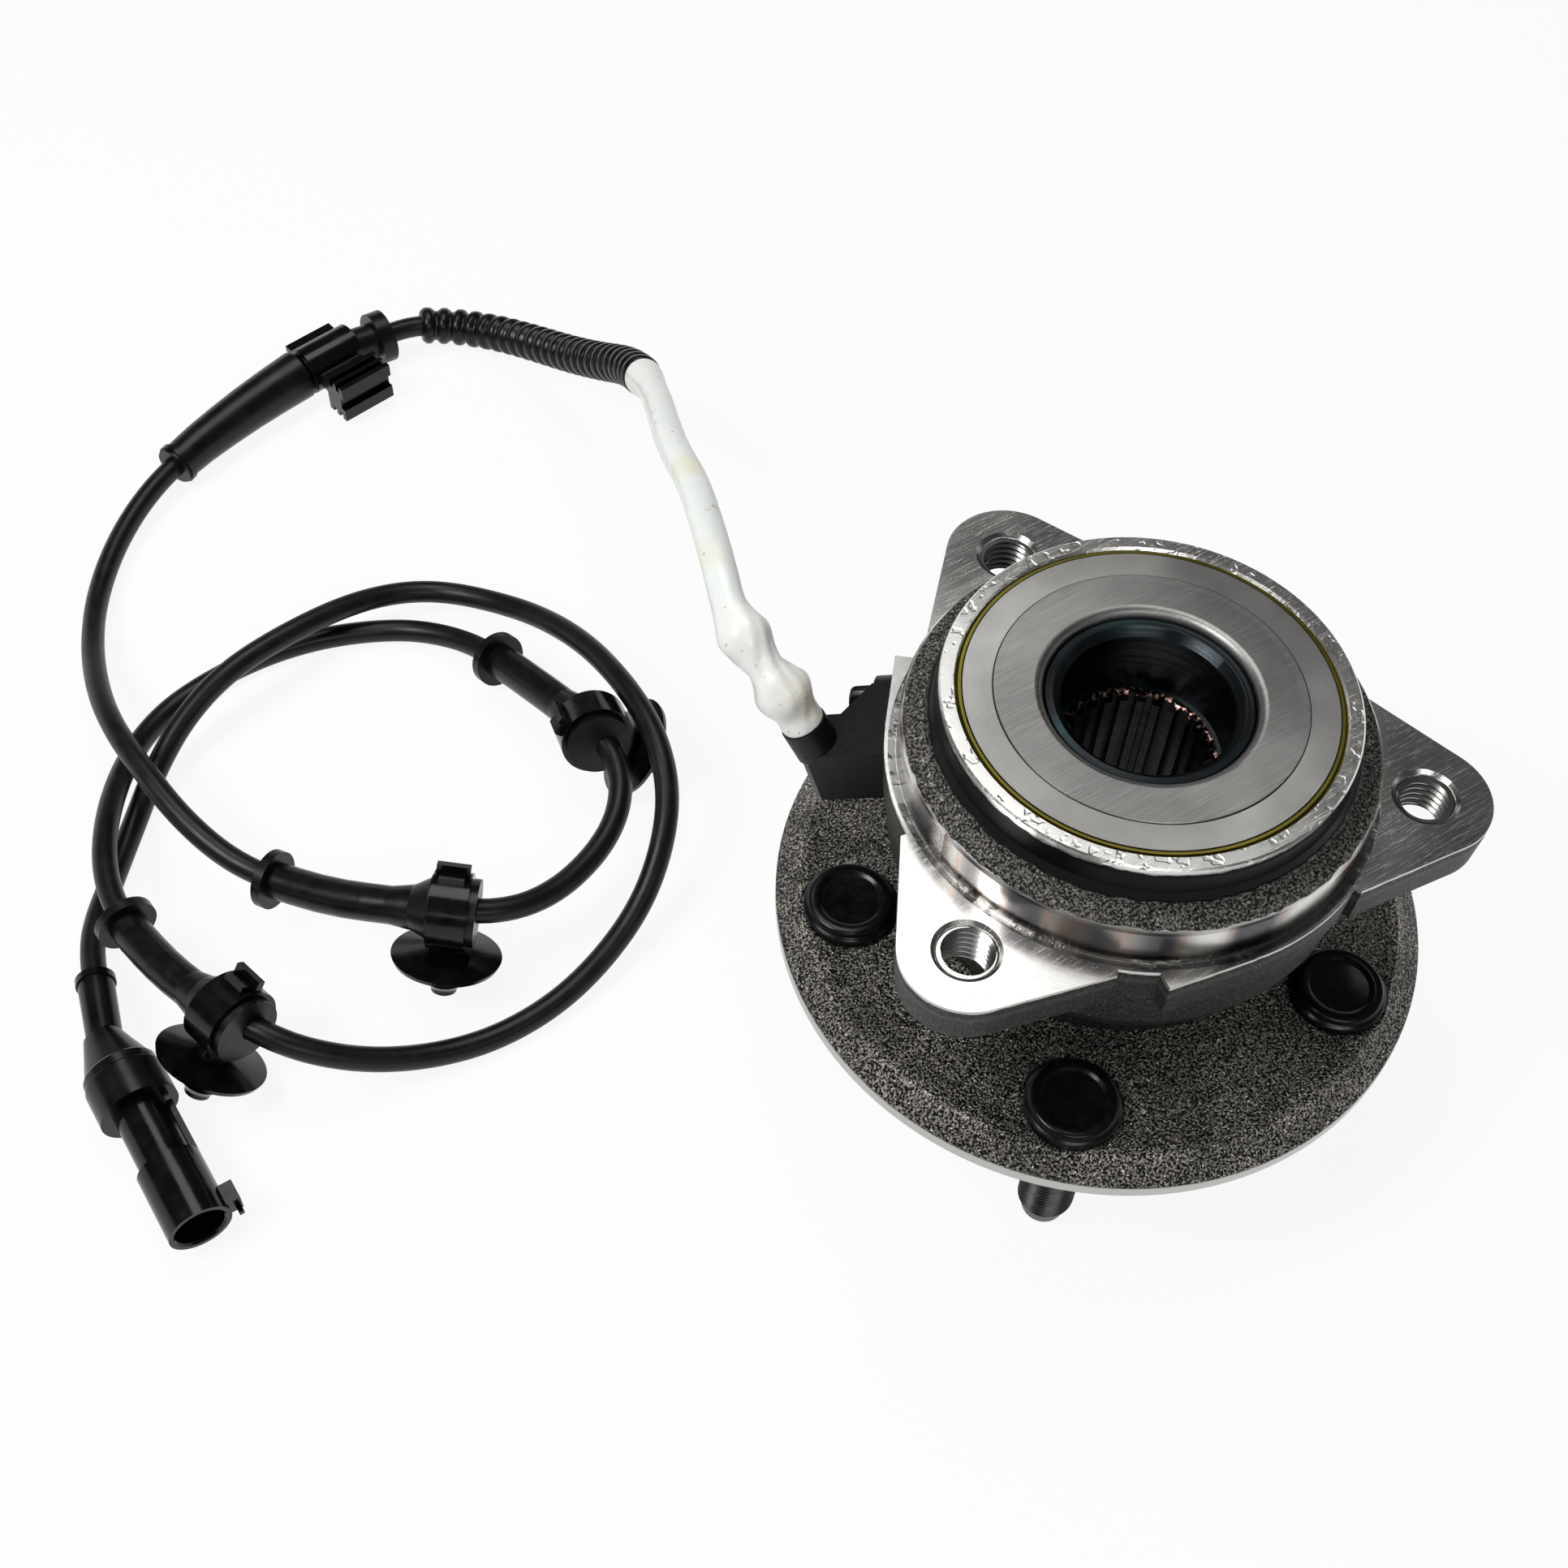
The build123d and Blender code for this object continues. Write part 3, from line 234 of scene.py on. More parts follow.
def noise(tree, scale, detail, **inputs):
    """Value of a noise at the point's place."""
    given = {"Vector": object_place(tree), "Scale": scale, "Detail": detail}
    return node(tree, "ShaderNodeTexNoise", {**given, **inputs}).outputs[0]


# ------------------------------------------------------------ shared effects


def build_spin_place():
    """Radius and height of a point about the spin axis, in metres."""
    tree, given, out = effect("Spin place", {}, ["Radius", "Height", "Turn"])
    place = node(tree, "ShaderNodeSeparateXYZ", {0: object_place(tree)}).outputs
    across = calc(tree, "MULTIPLY", place["X"], place["X"])
    radius = calc(tree, "SQRT", calc(tree, "MULTIPLY_ADD", place["Y"], place["Y"], across))
    tree.links.new(radius, out["Radius"])
    tree.links.new(place["Z"], out["Height"])
    tree.links.new(calc(tree, "ARCTAN2", place["Y"], place["X"]), out["Turn"])


def build_turning_marks():
    """Fine rings that a lathe tool leaves, and slow patches of more or less polish."""
    tree, given, out = effect("Turning marks", {"Rings": 9000.0, "Patches": 60.0}, ["Rings", "Patches"])
    place = use(tree, "Spin place")
    sweep = calc(tree, "MULTIPLY_ADD", place["Height"], 1.7, place["Radius"])
    rings = node(tree, "ShaderNodeTexNoise", {
        "W": sweep, "Scale": given["Rings"], "Detail": 2.0, "Roughness": 0.7}, noise_dimensions="1D")
    tree.links.new(rings.outputs[0], out["Rings"])
    tree.links.new(noise(tree, given["Patches"], 3.0), out["Patches"])


def build_cast_grain():
    """Blasted, forged surface: rounded grains, slow waves, slow clouds, a mask for painted light on the
    grain's crests and painted shade in its crevices, and painted glints.
    """
    tree, given, out = effect("Cast grain", {"Grains": 1700.0}, ["Relief", "Lit crests", "Glints", "Clouds"])
    grains = noise(tree, given["Grains"], 1.6, Roughness=0.5, Distortion=0.4)
    broad = noise(tree, calc(tree, "MULTIPLY", given["Grains"], 0.16), 2.0)
    clouds = noise(tree, calc(tree, "MULTIPLY", given["Grains"], 0.035), 3.0)
    picks = noise(tree, calc(tree, "MULTIPLY", given["Grains"], 0.9), 0.0)
    tree.links.new(calc(tree, "MULTIPLY_ADD", broad, 0.45, grains), out["Relief"])
    # Painted light and shade: 1 on the grain's crests, which are painted lit, and 0 in the crevices, which
    # are painted in shade.
    tree.links.new(ramp(tree, grains, 0.42, 0.60), out["Lit crests"])
    tree.links.new(calc(tree, "MULTIPLY", ramp(tree, grains, 0.60, 0.68),
                        ramp(tree, picks, 0.55, 0.66)), out["Glints"])
    tree.links.new(clouds, out["Clouds"])


def build_scratches():
    """Thin handling scratches that lie in two directions."""
    tree, given, out = effect("Scratches", {"Size": 120.0, "Cover": 0.5}, ["Mask"])
    found = None
    for turn, seed in ((0.6, 0.0), (-0.9, 3.7)):
        lie = node(tree, "ShaderNodeMapping", {
            "Vector": object_place(tree), "Location": (seed, seed, 0), "Rotation": (0, 0, turn),
            "Scale": (0.5, 50.0, 4.0)})
        lines = node(tree, "ShaderNodeTexNoise", {
            "Vector": lie.outputs[0], "Scale": given["Size"], "Detail": 3.0, "Distortion": 0.1})
        edge = calc(tree, "MULTIPLY_ADD", given["Cover"], -0.16, 0.76)
        mask = ramp(tree, calc(tree, "SUBTRACT", lines.outputs[0], edge), 0.0, 0.05)
        found = mask if found is None else calc(tree, "MAXIMUM", found, mask)
    tree.links.new(found, out["Mask"])


def build_grinding():
    """Faint crossed lines of a grinding wheel on a flat face."""
    tree, given, out = effect("Grinding lines", {"Fineness": 1.0}, ["Lines"])
    total = None
    for turn in (0.9, -0.35):
        lie = node(tree, "ShaderNodeMapping", {
            "Vector": object_place(tree), "Rotation": (0, 0, turn), "Scale": (0.03, 1.0, 0.2)})
        lines = node(tree, "ShaderNodeTexNoise", {
            "Vector": lie.outputs[0], "Scale": calc(tree, "MULTIPLY", given["Fineness"], 2600.0),
            "Detail": 2.0, "Roughness": 0.8})
        total = lines.outputs[0] if total is None else calc(tree, "MULTIPLY", total, lines.outputs[0])
    tree.links.new(ramp(tree, total, 0.12, 0.42), out["Lines"])


def build_mottle():
    """Slow and fine unevenness of a moulded surface, for its colour, gloss and relief."""
    tree, given, out = effect("Moulded skin", {"Size": 300.0}, ["Slow", "Fine"])
    tree.links.new(noise(tree, given["Size"], 2.0), out["Slow"])
    tree.links.new(noise(tree, calc(tree, "MULTIPLY", given["Size"], 9.0), 3.0), out["Fine"])


# ------------------------------------------------------------------ finishes

BRIGHT_RIM = (0.92, 0.91, 0.88, 1)
# Painted dark reflection and painted orange lamp glint on the pilot.
PAINTED_DARK_REFLECTION = (0.035, 0.032, 0.036, 1)
PAINTED_LAMP_GLINT = (0.42, 0.25, 0.17, 1)
CAST_GLINT = (0.62, 0.60, 0.56, 1)
GRAIN_GLINT = (0.90, 0.87, 0.80, 1)
TEMPER_TINT = (0.040, 0.080, 0.080, 1)
# Painted shade in the spline bore and painted bronze glints on the spline ends.
SPLINE_BORE_SHADE = (0.0025, 0.002, 0.002, 1)
SPLINE_TIP_GLINT = (0.50, 0.30, 0.25, 1)
SLEEVE_STAIN = (0.90, 0.84, 0.66, 1)
SLEEVE_SPECK = (0.55, 0.48, 0.34, 1)
DUST = (0.5, 0.5, 0.48, 1)


def surface(name, base, rough, metal=0.0, height=None, depth=0.00002, **constants):
    """A material from its base colour, roughness, metallic and relief.

    Each of the first three is a plain value or a socket of the material's tree;
    the constants go on the shader's own sockets.
    """
    material = bpy.data.materials.new(name)
    material.use_nodes = True
    tree = material.node_tree
    tree.nodes.clear()
    made = {"tree": tree}
    for key, value in (("Base Color", base), ("Roughness", rough), ("Metallic", metal), ("Height", height)):
        made[key] = value(tree) if callable(value) else value
    inputs = {key: made[key] for key in ("Base Color", "Roughness", "Metallic")}
    inputs.update({key.replace("_", " "): value for key, value in constants.items()})
    if height is not None:
        bump = node(tree, "ShaderNodeBump", {"Height": made["Height"], "Strength": 1.0, "Distance": depth})
        inputs["Normal"] = bump.outputs["Normal"]
    shader = node(tree, "ShaderNodeBsdfPrincipled", inputs)
    node(tree, "ShaderNodeOutputMaterial", {"Surface": shader.outputs[0]})
    return material


def round_steel(name, steel, rough, rings=9000.0, depth=0.000012, ground=0.0, scratched=0.4, seam=0.0):
    """Turned or ground steel about the spin axis: ring marks, crossed grinding lines,
    polish patches, scratches, and a dark seam at one radius."""
    def colours(tree):
        marks = use(tree, "Turning marks", Rings=rings)
        polished = ramp(tree, marks["Patches"], 0.25, 0.75)
        body = mixed(tree, polished, shade(steel, 0.78), shade(steel, 1.12))
        rings_seen = ramp(tree, marks["Rings"], 0.40, 0.62)
        body = mixed(tree, calc(tree, "MULTIPLY", rings_seen, 0.35), body, shade(steel, 0.72))
        if ground:
            lines = use(tree, "Grinding lines")["Lines"]
            body = mixed(tree, calc(tree, "MULTIPLY", lines, ground), body, shade(steel, 1.45))
        mask = calc(tree, "MULTIPLY", use(tree, "Scratches", Cover=scratched)["Mask"], 0.55)
        body = mixed(tree, mask, body, shade(steel, 1.6))
        if seam:
            edge = band(tree, use(tree, "Spin place")["Radius"], seam - 0.00022, seam + 0.00018, 0.00006)
            body = mixed(tree, edge, body, shade(steel, 0.06))
        return body

    def roughness(tree):
        marks = use(tree, "Turning marks", Rings=rings)
        return calc(tree, "MULTIPLY_ADD", marks["Patches"], 0.16, rough - 0.08)

    def relief(tree):
        marks = use(tree, "Turning marks", Rings=rings)
        mask = use(tree, "Scratches", Cover=scratched)["Mask"]
        height = calc(tree, "MULTIPLY_ADD", mask, -0.5, marks["Rings"])
        if ground:
            height = calc(tree, "MULTIPLY_ADD", use(tree, "Grinding lines")["Lines"], 0.8, height)
        return height

    return surface(name, colours, roughness, 1.0, relief, depth, Anisotropic=0.4)


def housing_finish(colours):
    """Outer ring: scratched rim, a neck painted near black as a dark reflection, cast shoulder,
    polished pilot with painted reflection bands and painted lamp glints, milled face, and rough
    forged edges below it, whose sides are painted darker as shade; painted shade fills the grain's
    crevices and painted light its crests."""
    def regions(tree):
        place = use(tree, "Spin place")
        radius, height = place["Radius"], place["Height"]
        shift = calc(tree, "MULTIPLY_ADD", noise(tree, 260.0, 3.0), 0.0016, -0.0008)
        outside = ramp(tree, radius, 0.0405, 0.0412)
        neck = calc(tree, "MULTIPLY", band(tree, calc(tree, "ADD", height, shift), 0.0685, 0.0755), outside)
        shoulder = band(tree, calc(tree, "ADD", height, shift), 0.0658, 0.0688)
        ragged = calc(tree, "MULTIPLY_ADD", shift, 0.5, height)
        below = ramp(tree, ragged, 0.0546, 0.0549, 1.0, 0.0)
        holes = ramp(tree, radius, 0.0415, 0.0425)
        forged = calc(tree, "MAXIMUM", shoulder, calc(tree, "MULTIPLY", below, holes))
        return place, neck, calc(tree, "MULTIPLY", forged, outside)

    def base(tree):
        place, neck, forged = regions(tree)
        height = place["Height"]
        marks = use(tree, "Turning marks", Rings=7000.0)
        polished = ramp(tree, marks["Patches"], 0.3, 0.7)
        steel = mixed(tree, polished, shade(colours.steel, 0.85), shade(colours.steel, 1.1))
        ring_seen = calc(tree, "MULTIPLY", ramp(tree, marks["Rings"], 0.42, 0.62), 0.3)
        steel = mixed(tree, ring_seen, steel, shade(colours.steel, 0.7))
        rim = ramp(tree, height, 0.0758, 0.0762)
        bright = mixed(tree, marks["Patches"], shade(colours.steel, 1.25), BRIGHT_RIM)
        steel = mixed(tree, rim, steel, bright)
        marked = calc(tree, "MULTIPLY", use(tree, "Scratches", Size=150.0, Cover=0.9)["Mask"],
                      calc(tree, "MULTIPLY_ADD", rim, 0.4, 0.15))
        steel = mixed(tree, marked, steel, shade(colours.steel, 1.6))
        # Painted reflections on the polished pilot: dark and bright bands round its turn, and orange painted
        # glints of the lamps.
        reflection_noise_inputs = {"W": place["Turn"], "Scale": 2.4, "Detail": 1.2, "Roughness": 0.5}
        reflection_band = node(tree, "ShaderNodeTexNoise", reflection_noise_inputs, noise_dimensions="1D").outputs[0]
        pilot_reflection = mixed(tree, ramp(tree, reflection_band, 0.43, 0.62), PAINTED_DARK_REFLECTION, shade(colours.steel, 1.3))
        lamp_glint = calc(tree, "MULTIPLY", band(tree, reflection_band, 0.50, 0.52, 0.02), 0.6)
        pilot_reflection = mixed(tree, lamp_glint, pilot_reflection, PAINTED_LAMP_GLINT)
        pilot = band(tree, height, 0.0560, 0.0655, 0.0003)
        steel = mixed(tree, calc(tree, "MULTIPLY", pilot, 0.95), steel, pilot_reflection)
        groove = band(tree, place["Radius"], 0.0498, 0.0514, 0.0001)
        shaded = calc(tree, "MULTIPLY", groove, band(tree, height, 0.0545, 0.0558, 0.0001))
        steel = mixed(tree, calc(tree, "MULTIPLY", shaded, 0.7), steel, shade(colours.steel, 0.2))
        grain = use(tree, "Cast grain", Grains=1900.0)
        # Painted shade: below the knuckle face the forged lobe sides are painted much darker than the
        # shoulder above, and the painted glints are stronger above.
        lit_above_shaded_below = ramp(tree, height, 0.0560, 0.0570)
        light = mixed(tree, lit_above_shaded_below, shade(colours.forging, 0.32), shade(colours.forging, 1.4))
        # Painted shade in the grain's crevices and painted light on its crests.
        cast = mixed(tree, grain["Lit crests"], shade(colours.forging, 0.06), light)
        parting = band(tree, height, 0.0514, 0.0530, 0.0006)
        cast = mixed(tree, calc(tree, "MULTIPLY", parting, 0.3), cast, shade(colours.forging, 1.0))
        shine = calc(tree, "MULTIPLY", grain["Glints"], calc(tree, "MULTIPLY_ADD", lit_above_shaded_below, 0.6, 0.2))
        cast = mixed(tree, shine, cast, CAST_GLINT)
        # The neck region is painted near black as a dark reflection.
        return mixed(tree, neck, mixed(tree, forged, steel, cast), tuple(colours.neck))

    def metal(tree):
        place, neck, forged = regions(tree)
        return calc(tree, "MAXIMUM", calc(tree, "MULTIPLY_ADD", forged, -0.35, 1.0), neck)

    def roughness(tree):
        place, neck, forged = regions(tree)
        marks = use(tree, "Turning marks", Rings=7000.0)
        steel = calc(tree, "MULTIPLY_ADD", marks["Patches"], 0.16, 0.15)
        return between(tree, neck, between(tree, forged, steel, 0.5), 0.30)

    def relief(tree):
        place, neck, forged = regions(tree)
        marks = use(tree, "Turning marks", Rings=7000.0)
        scratches = use(tree, "Scratches", Size=150.0, Cover=0.8)
        ridges = calc(tree, "MULTIPLY", marks["Rings"], 0.010)
        smooth = calc(tree, "MULTIPLY_ADD", scratches["Mask"], -0.010, ridges)
        dents = ramp(tree, noise(tree, 420.0, 1.0), 0.56, 0.66)
        knocked = calc(tree, "MULTIPLY", dents, ramp(tree, place["Height"], 0.0760, 0.0766))
        smooth = calc(tree, "MULTIPLY_ADD", knocked, -0.12, smooth)
        return between(tree, forged, smooth, use(tree, "Cast grain", Grains=1900.0)["Relief"])

    return surface("Outer ring, forged and turned", base, roughness, metal, relief, 0.00032, Anisotropic=0.3)


def hub_finish(colours):
    """Hub: grainy forged flange with a turned edge, painted shade in the grain's crevices, painted
    light on its crests and painted glints, turned faces and pilot below, a dark hardened spindle end,
    and a spline bore painted near black as shade, with painted bronze glints on the spline tips."""
    def regions(tree):
        place = use(tree, "Spin place")
        radius, height = place["Radius"], place["Height"]
        above = ramp(tree, height, 0.0036, 0.0040)
        on_back = calc(tree, "MULTIPLY", above, ramp(tree, height, 0.0165, 0.0170, 1.0, 0.0))
        forged = calc(tree, "MULTIPLY", on_back, ramp(tree, radius, 0.0290, 0.0294))
        end = ramp(tree, height, 0.0560, 0.0575)
        inside = ramp(tree, radius, 0.0168, 0.0171, 1.0, 0.0)
        bore = calc(tree, "MULTIPLY", inside, ramp(tree, height, 0.0590, 0.0585))
        return radius, height, forged, end, bore

    def base(tree):
        radius, height, forged, end, bore = regions(tree)
        marks = use(tree, "Turning marks", Rings=5000.0)
        ring_seen = ramp(tree, marks["Rings"], 0.4, 0.62)
        steel = mixed(tree, ring_seen, shade(colours.steel, 0.75), tuple(colours.steel))
        grain = use(tree, "Cast grain", Grains=2000.0)
        worn = calc(tree, "MULTIPLY", band(tree, radius, 0.0660, 0.0684, 0.0006),
                    ramp(tree, grain["Clouds"], 0.42, 0.60))
        cloud = ramp(tree, grain["Clouds"], 0.3, 0.7)
        light = mixed(tree, cloud, shade(colours.forging, 1.9), shade(colours.forging, 3.3))
        light = mixed(tree, worn, light, shade(colours.forging, 4.2))
        # Painted shade in the grain's crevices and painted light on its crests.
        cast = mixed(tree, grain["Lit crests"], shade(colours.forging, 0.06), light)
        cast = mixed(tree, grain["Glints"], cast, GRAIN_GLINT)
        body = mixed(tree, forged, steel, cast)
        temper = ramp(tree, marks["Patches"], 0.52, 0.72)
        tinted = mixed(tree, temper, shade(colours.spindle, 0.5), TEMPER_TINT)
        body = mixed(tree, end, body, tinted)
        # Painted shade in the spline bore: near black, with painted bronze glints on the top ends of the
        # spline teeth.
        glint = ramp(tree, noise(tree, 900.0, 1.0), 0.50, 0.62)
        lit = calc(tree, "MULTIPLY", ramp(tree, height, 0.0572, 0.0580), glint)
        tips = mixed(tree, lit, SPLINE_BORE_SHADE, SPLINE_TIP_GLINT)
        return mixed(tree, bore, body, tips)

    def metal(tree):
        return calc(tree, "MULTIPLY_ADD", regions(tree)[2], -0.12, 1.0)

    def roughness(tree):
        radius, height, forged, end, bore = regions(tree)
        return between(tree, end, between(tree, forged, 0.30, 0.37), 0.2)

    def relief(tree):
        radius, height, forged, end, bore = regions(tree)
        marks = use(tree, "Turning marks", Rings=5000.0)
        return between(tree, forged, calc(tree, "MULTIPLY", marks["Rings"], 0.04),
                       use(tree, "Cast grain", Grains=2000.0)["Relief"])

    return surface("Hub, forged and turned", base, roughness, metal, relief, 0.00085, Anisotropic=0.3)


def moulded(name, tone, rough, size=300.0, grain=0.15, depth=0.00003, dust=0.06, **constants):
    """Moulded rubber or plastic: slow shifts of tone and gloss, a fine skin, a little dust."""
    constants.setdefault("Specular_IOR_Level", 0.32)

    def base(tree):
        skin = use(tree, "Moulded skin", Size=size)
        worn = mixed(tree, ramp(tree, skin["Slow"], 0.3, 0.75), shade(tone, 0.7), shade(tone, 1.4))
        specks = calc(tree, "MULTIPLY", ramp(tree, skin["Fine"], 0.70, 0.76), dust)
        return mixed(tree, specks, worn, DUST)

    def roughness(tree):
        skin = use(tree, "Moulded skin", Size=size)
        return calc(tree, "MULTIPLY_ADD", skin["Slow"], 0.2, rough - 0.1)

    def relief(tree):
        skin = use(tree, "Moulded skin", Size=size)
        return calc(tree, "MULTIPLY_ADD", skin["Fine"], grain, skin["Slow"])

    return surface(name, base, roughness, 0.0, relief, depth, **constants)


def sleeve_finish(tone):
    """White silicone sleeve: faint stains, small nicks and soft wrinkles."""
    def base(tree):
        body = mixed(tree, ramp(tree, noise(tree, 45.0, 4.0), 0.5, 0.72), tuple(tone), SLEEVE_STAIN)
        return mixed(tree, ramp(tree, noise(tree, 420.0, 2.0), 0.69, 0.74), body, SLEEVE_SPECK)

    def relief(tree):
        soft = noise(tree, 160.0, 2.0, Distortion=0.8)
        return calc(tree, "MULTIPLY_ADD", noise(tree, 2600.0, 2.0), 0.06, soft)

    return surface("White silicone sleeve", base, 0.26, 0.0, relief, 0.00035,
                   Subsurface_Weight=0.15, Subsurface_Scale=0.002)


def build_finishes(colours):
    """Every finish by the name that the pieces ask for."""
    steel = tuple(colours.steel)
    return {
        "housing": housing_finish(colours),
        "hub": hub_finish(colours),
        "ring": round_steel("Ground ring steel", shade(steel, 0.52), 0.36, 9000.0, ground=0.5, scratched=0.6,
                            seam=RING_SEAM_R),
        "flinger": round_steel("Stamped flinger steel", shade(steel, 0.78), 0.38, 4000.0, scratched=0.25),
        "olive": round_steel("Olive seal coating", tuple(colours.olive), 0.38, 3000.0, scratched=0.1),
        "tone": round_steel("Sintered ring steel", shade(steel, 0.42), 0.5, 2500.0),
        "roller": round_steel("Polished roller steel", shade(steel, 1.25), 0.14, 2000.0, 0.000002,
                              scratched=0.0),
        "cage": round_steel("Pressed cage steel", shade(steel, 0.7), 0.38, 2000.0),
        "thread": round_steel("Cut thread steel", shade(steel, 0.8), 0.2, 1500.0, 0.000004, scratched=0.2),
        "stud": moulded("Black stud finish", tuple(colours.stud), 0.24, 500.0, 0.2, 0.00003, 0.03),
        "cable": moulded("Cable jacket rubber", tuple(colours.rubber), 0.38, 220.0, 0.2, 0.00005),
        "grommet": moulded("Grommet rubber", shade(colours.rubber, 0.7), 0.32, 260.0, 0.15, 0.00005),
        "conduit": moulded("Conduit plastic", tuple(colours.plastic), 0.30, 420.0, 0.2, 0.00003),
        "clip": moulded("Glossy clip plastic", shade(colours.plastic, 0.7), 0.17, 240.0, 0.05, 0.00004, 0.04),
        "boot": moulded("Boot rubber", shade(colours.plastic, 0.8), 0.24, 200.0, 0.1, 0.00005),
        "sensor": moulded("Sensor housing plastic", shade(colours.plastic, 0.6), 0.42, 900.0, 0.5,
                          0.00003, 0.04, Specular_IOR_Level=0.3),
        "lip": moulded("Seal lip rubber", shade(colours.rubber, 1.2), 0.5),
        "sleeve": sleeve_finish(colours.sleeve),
        "terminal": round_steel("Plated brass", tuple(colours.brass), 0.25, 4000.0),
    }


CAD_FINISHES = {
    "bearing_housing": "housing",
    "hub": "hub",
    "wheel_studs": "stud",
    "tone_ring": "tone",
    "sensor_body": "sensor",
    "sensor_probe": "sensor",
    "sensor_o_ring": "lip",
    "sensor_screw": "stud",
    "sensor_cable": "cable",
    "heat_sleeve": "sleeve",
    "conduit": "conduit",
    **{f"grommet_{i}": "grommet" for i in range(1, 5)},
    **{f"clip_{i}": "clip" for i in range(1, 5)},
    "connector_boot": "boot",
    "connector_shell": "clip",
    "connector_pins": "terminal",
    "inboard_cone": "ring",
    "outboard_cone": "ring",
    "inboard_rollers": "roller",
    "outboard_rollers": "roller",
    "inboard_cage": "cage",
    "outboard_cage": "cage",
    "inboard_seal_case": "olive",
    "outboard_seal_case": "olive",
    "inboard_seal_lip": "lip",
    "outboard_seal_lip": "lip",
    "inboard_seal_flinger": "flinger",
    "outboard_seal_flinger": "flinger",
}

FINISHES = {}


# ---------------------------------------------------------- modelling helpers


def unselect():
    """Leaves edit mode, with nothing selected."""
    active = bpy.context.view_layer.objects.active
    if active is not None and active.mode != "OBJECT":
        bpy.ops.object.mode_set(mode="OBJECT")
    bpy.ops.object.select_all(action="DESELECT")


def pick(piece):
    unselect()
    piece.select_set(True)
    bpy.context.view_layer.objects.active = piece


def settle(piece):
    """Puts the piece's place into its mesh, so that its object sits at the origin."""
    pick(piece)
    bpy.ops.object.transform_apply(location=True, rotation=True, scale=True)


def drawn_line(name, points):
    """A line drawn point by point, in edit mode and all selected at the end."""
    unselect()
    bpy.ops.mesh.primitive_plane_add(size=0.001, location=points[0])
    piece = bpy.context.object
    piece.name = name
    settle(piece)
    bpy.ops.object.mode_set(mode="EDIT")
    bpy.ops.mesh.select_all(action="SELECT")
    bpy.ops.mesh.merge(type="CENTER")
    for before, after in zip(points, points[1:]):
        step = [b - a for a, b in zip(before, after)]
        bpy.ops.mesh.extrude_vertices_move(TRANSFORM_OT_translate={"value": step})
    bpy.ops.mesh.select_all(action="SELECT")
    return piece


def close_up(piece):
    """Merges doubles and turns all faces outwards."""
    pick(piece)
    bpy.ops.object.mode_set(mode="EDIT")
    bpy.ops.mesh.select_all(action="SELECT")
    bpy.ops.mesh.remove_doubles(threshold=1e-6)
    bpy.ops.mesh.normals_make_consistent(inside=False)
    bpy.ops.object.mode_set(mode="OBJECT")


def turned(name, outline, sides):
    """Spins an outline of (radius, height) points round the Z axis."""
    piece = drawn_line(name, [(r, 0, z) for r, z in outline])
    bpy.ops.mesh.spin(steps=sides, angle=2 * pi, center=(0, 0, 0), axis=(0, 0, 1))
    close_up(piece)
    return piece


def screwed(name, outline, pitch, low, high, sides):
    """A thread: one ridge's (radius, height) outline, screwed up past both ends
    and cut off flat at low and high."""
    piece = drawn_line(name, [(r, 0, z + low - pitch) for r, z in outline])
    bpy.ops.object.mode_set(mode="OBJECT")
    thread = piece.modifiers.new("Thread", "SCREW")
    thread.axis = "Z"
    thread.angle = 2 * pi
    thread.screw_offset = pitch
    thread.iterations = int((high - low) / pitch) + 3
    thread.steps = thread.render_steps = sides
    thread.use_merge_vertices = True
    thread.merge_threshold = 1e-6
    pick(piece)
    bpy.ops.object.modifier_apply(modifier=thread.name)
    for height, up in ((high, 1), (low, -1)):
        bpy.ops.object.mode_set(mode="EDIT")
        bpy.ops.mesh.select_all(action="SELECT")
        bpy.ops.mesh.bisect(plane_co=(0, 0, height), plane_no=(0, 0, up), use_fill=True, clear_outer=True)
        bpy.ops.object.mode_set(mode="OBJECT")
    close_up(piece)
    return piece


def joined(pieces, name):
    """Several meshes as one piece."""
    pick(pieces[0])
    for piece in pieces[1:]:
        piece.select_set(True)
    bpy.ops.object.join()
    pieces[0].name = name
    return pieces[0]


def twin(piece, name, matrix):
    """A copy with its own mesh, set in another place."""
    made = piece.copy()
    made.data = piece.data.copy()
    made.name = name
    bpy.context.scene.collection.objects.link(made)
    made.matrix_world = matrix
    settle(made)
    return made


def finished(piece, body, finish, angle=35):
    """Gives the piece its finish and smooth faces, and hangs it on its body."""
    piece.data.materials.clear()
    piece.data.materials.append(FINISHES[finish])
    pick(piece)
    bpy.ops.object.shade_smooth_by_angle(angle=radians(angle))
    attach(piece, body)
    return piece


def turn_about_axis(radius, degrees, height=0.0):
    """Matrix of a place on a circle round the spin axis."""
    at = radians(degrees)
    return Matrix.Translation((radius * cos(at), radius * sin(at), height)) @ Matrix.Rotation(at, 4, "Z")


# --------------------------------------------------------------- the harness


def cable_points():
    return [Vector(point) / 1000 for point in CABLE_ROUTE]


def cable_line(cable):
    """Closely spaced points along the middle of the cable."""
    plain = bpy.data.objects.new("cable_middle", cable.data.copy())
    plain.data.bevel_depth = 0.0
    plain.data.resolution_u = 16
    bpy.context.scene.collection.objects.link(plain)
    seen = plain.evaluated_get(bpy.context.evaluated_depsgraph_get())
    mesh = bpy.data.meshes.new_from_object(seen)
    points = [vertex.co.copy() for vertex in mesh.vertices]
    line_data = plain.data
    bpy.data.objects.remove(plain)
    bpy.data.curves.remove(line_data)
    bpy.data.meshes.remove(mesh)
    return points


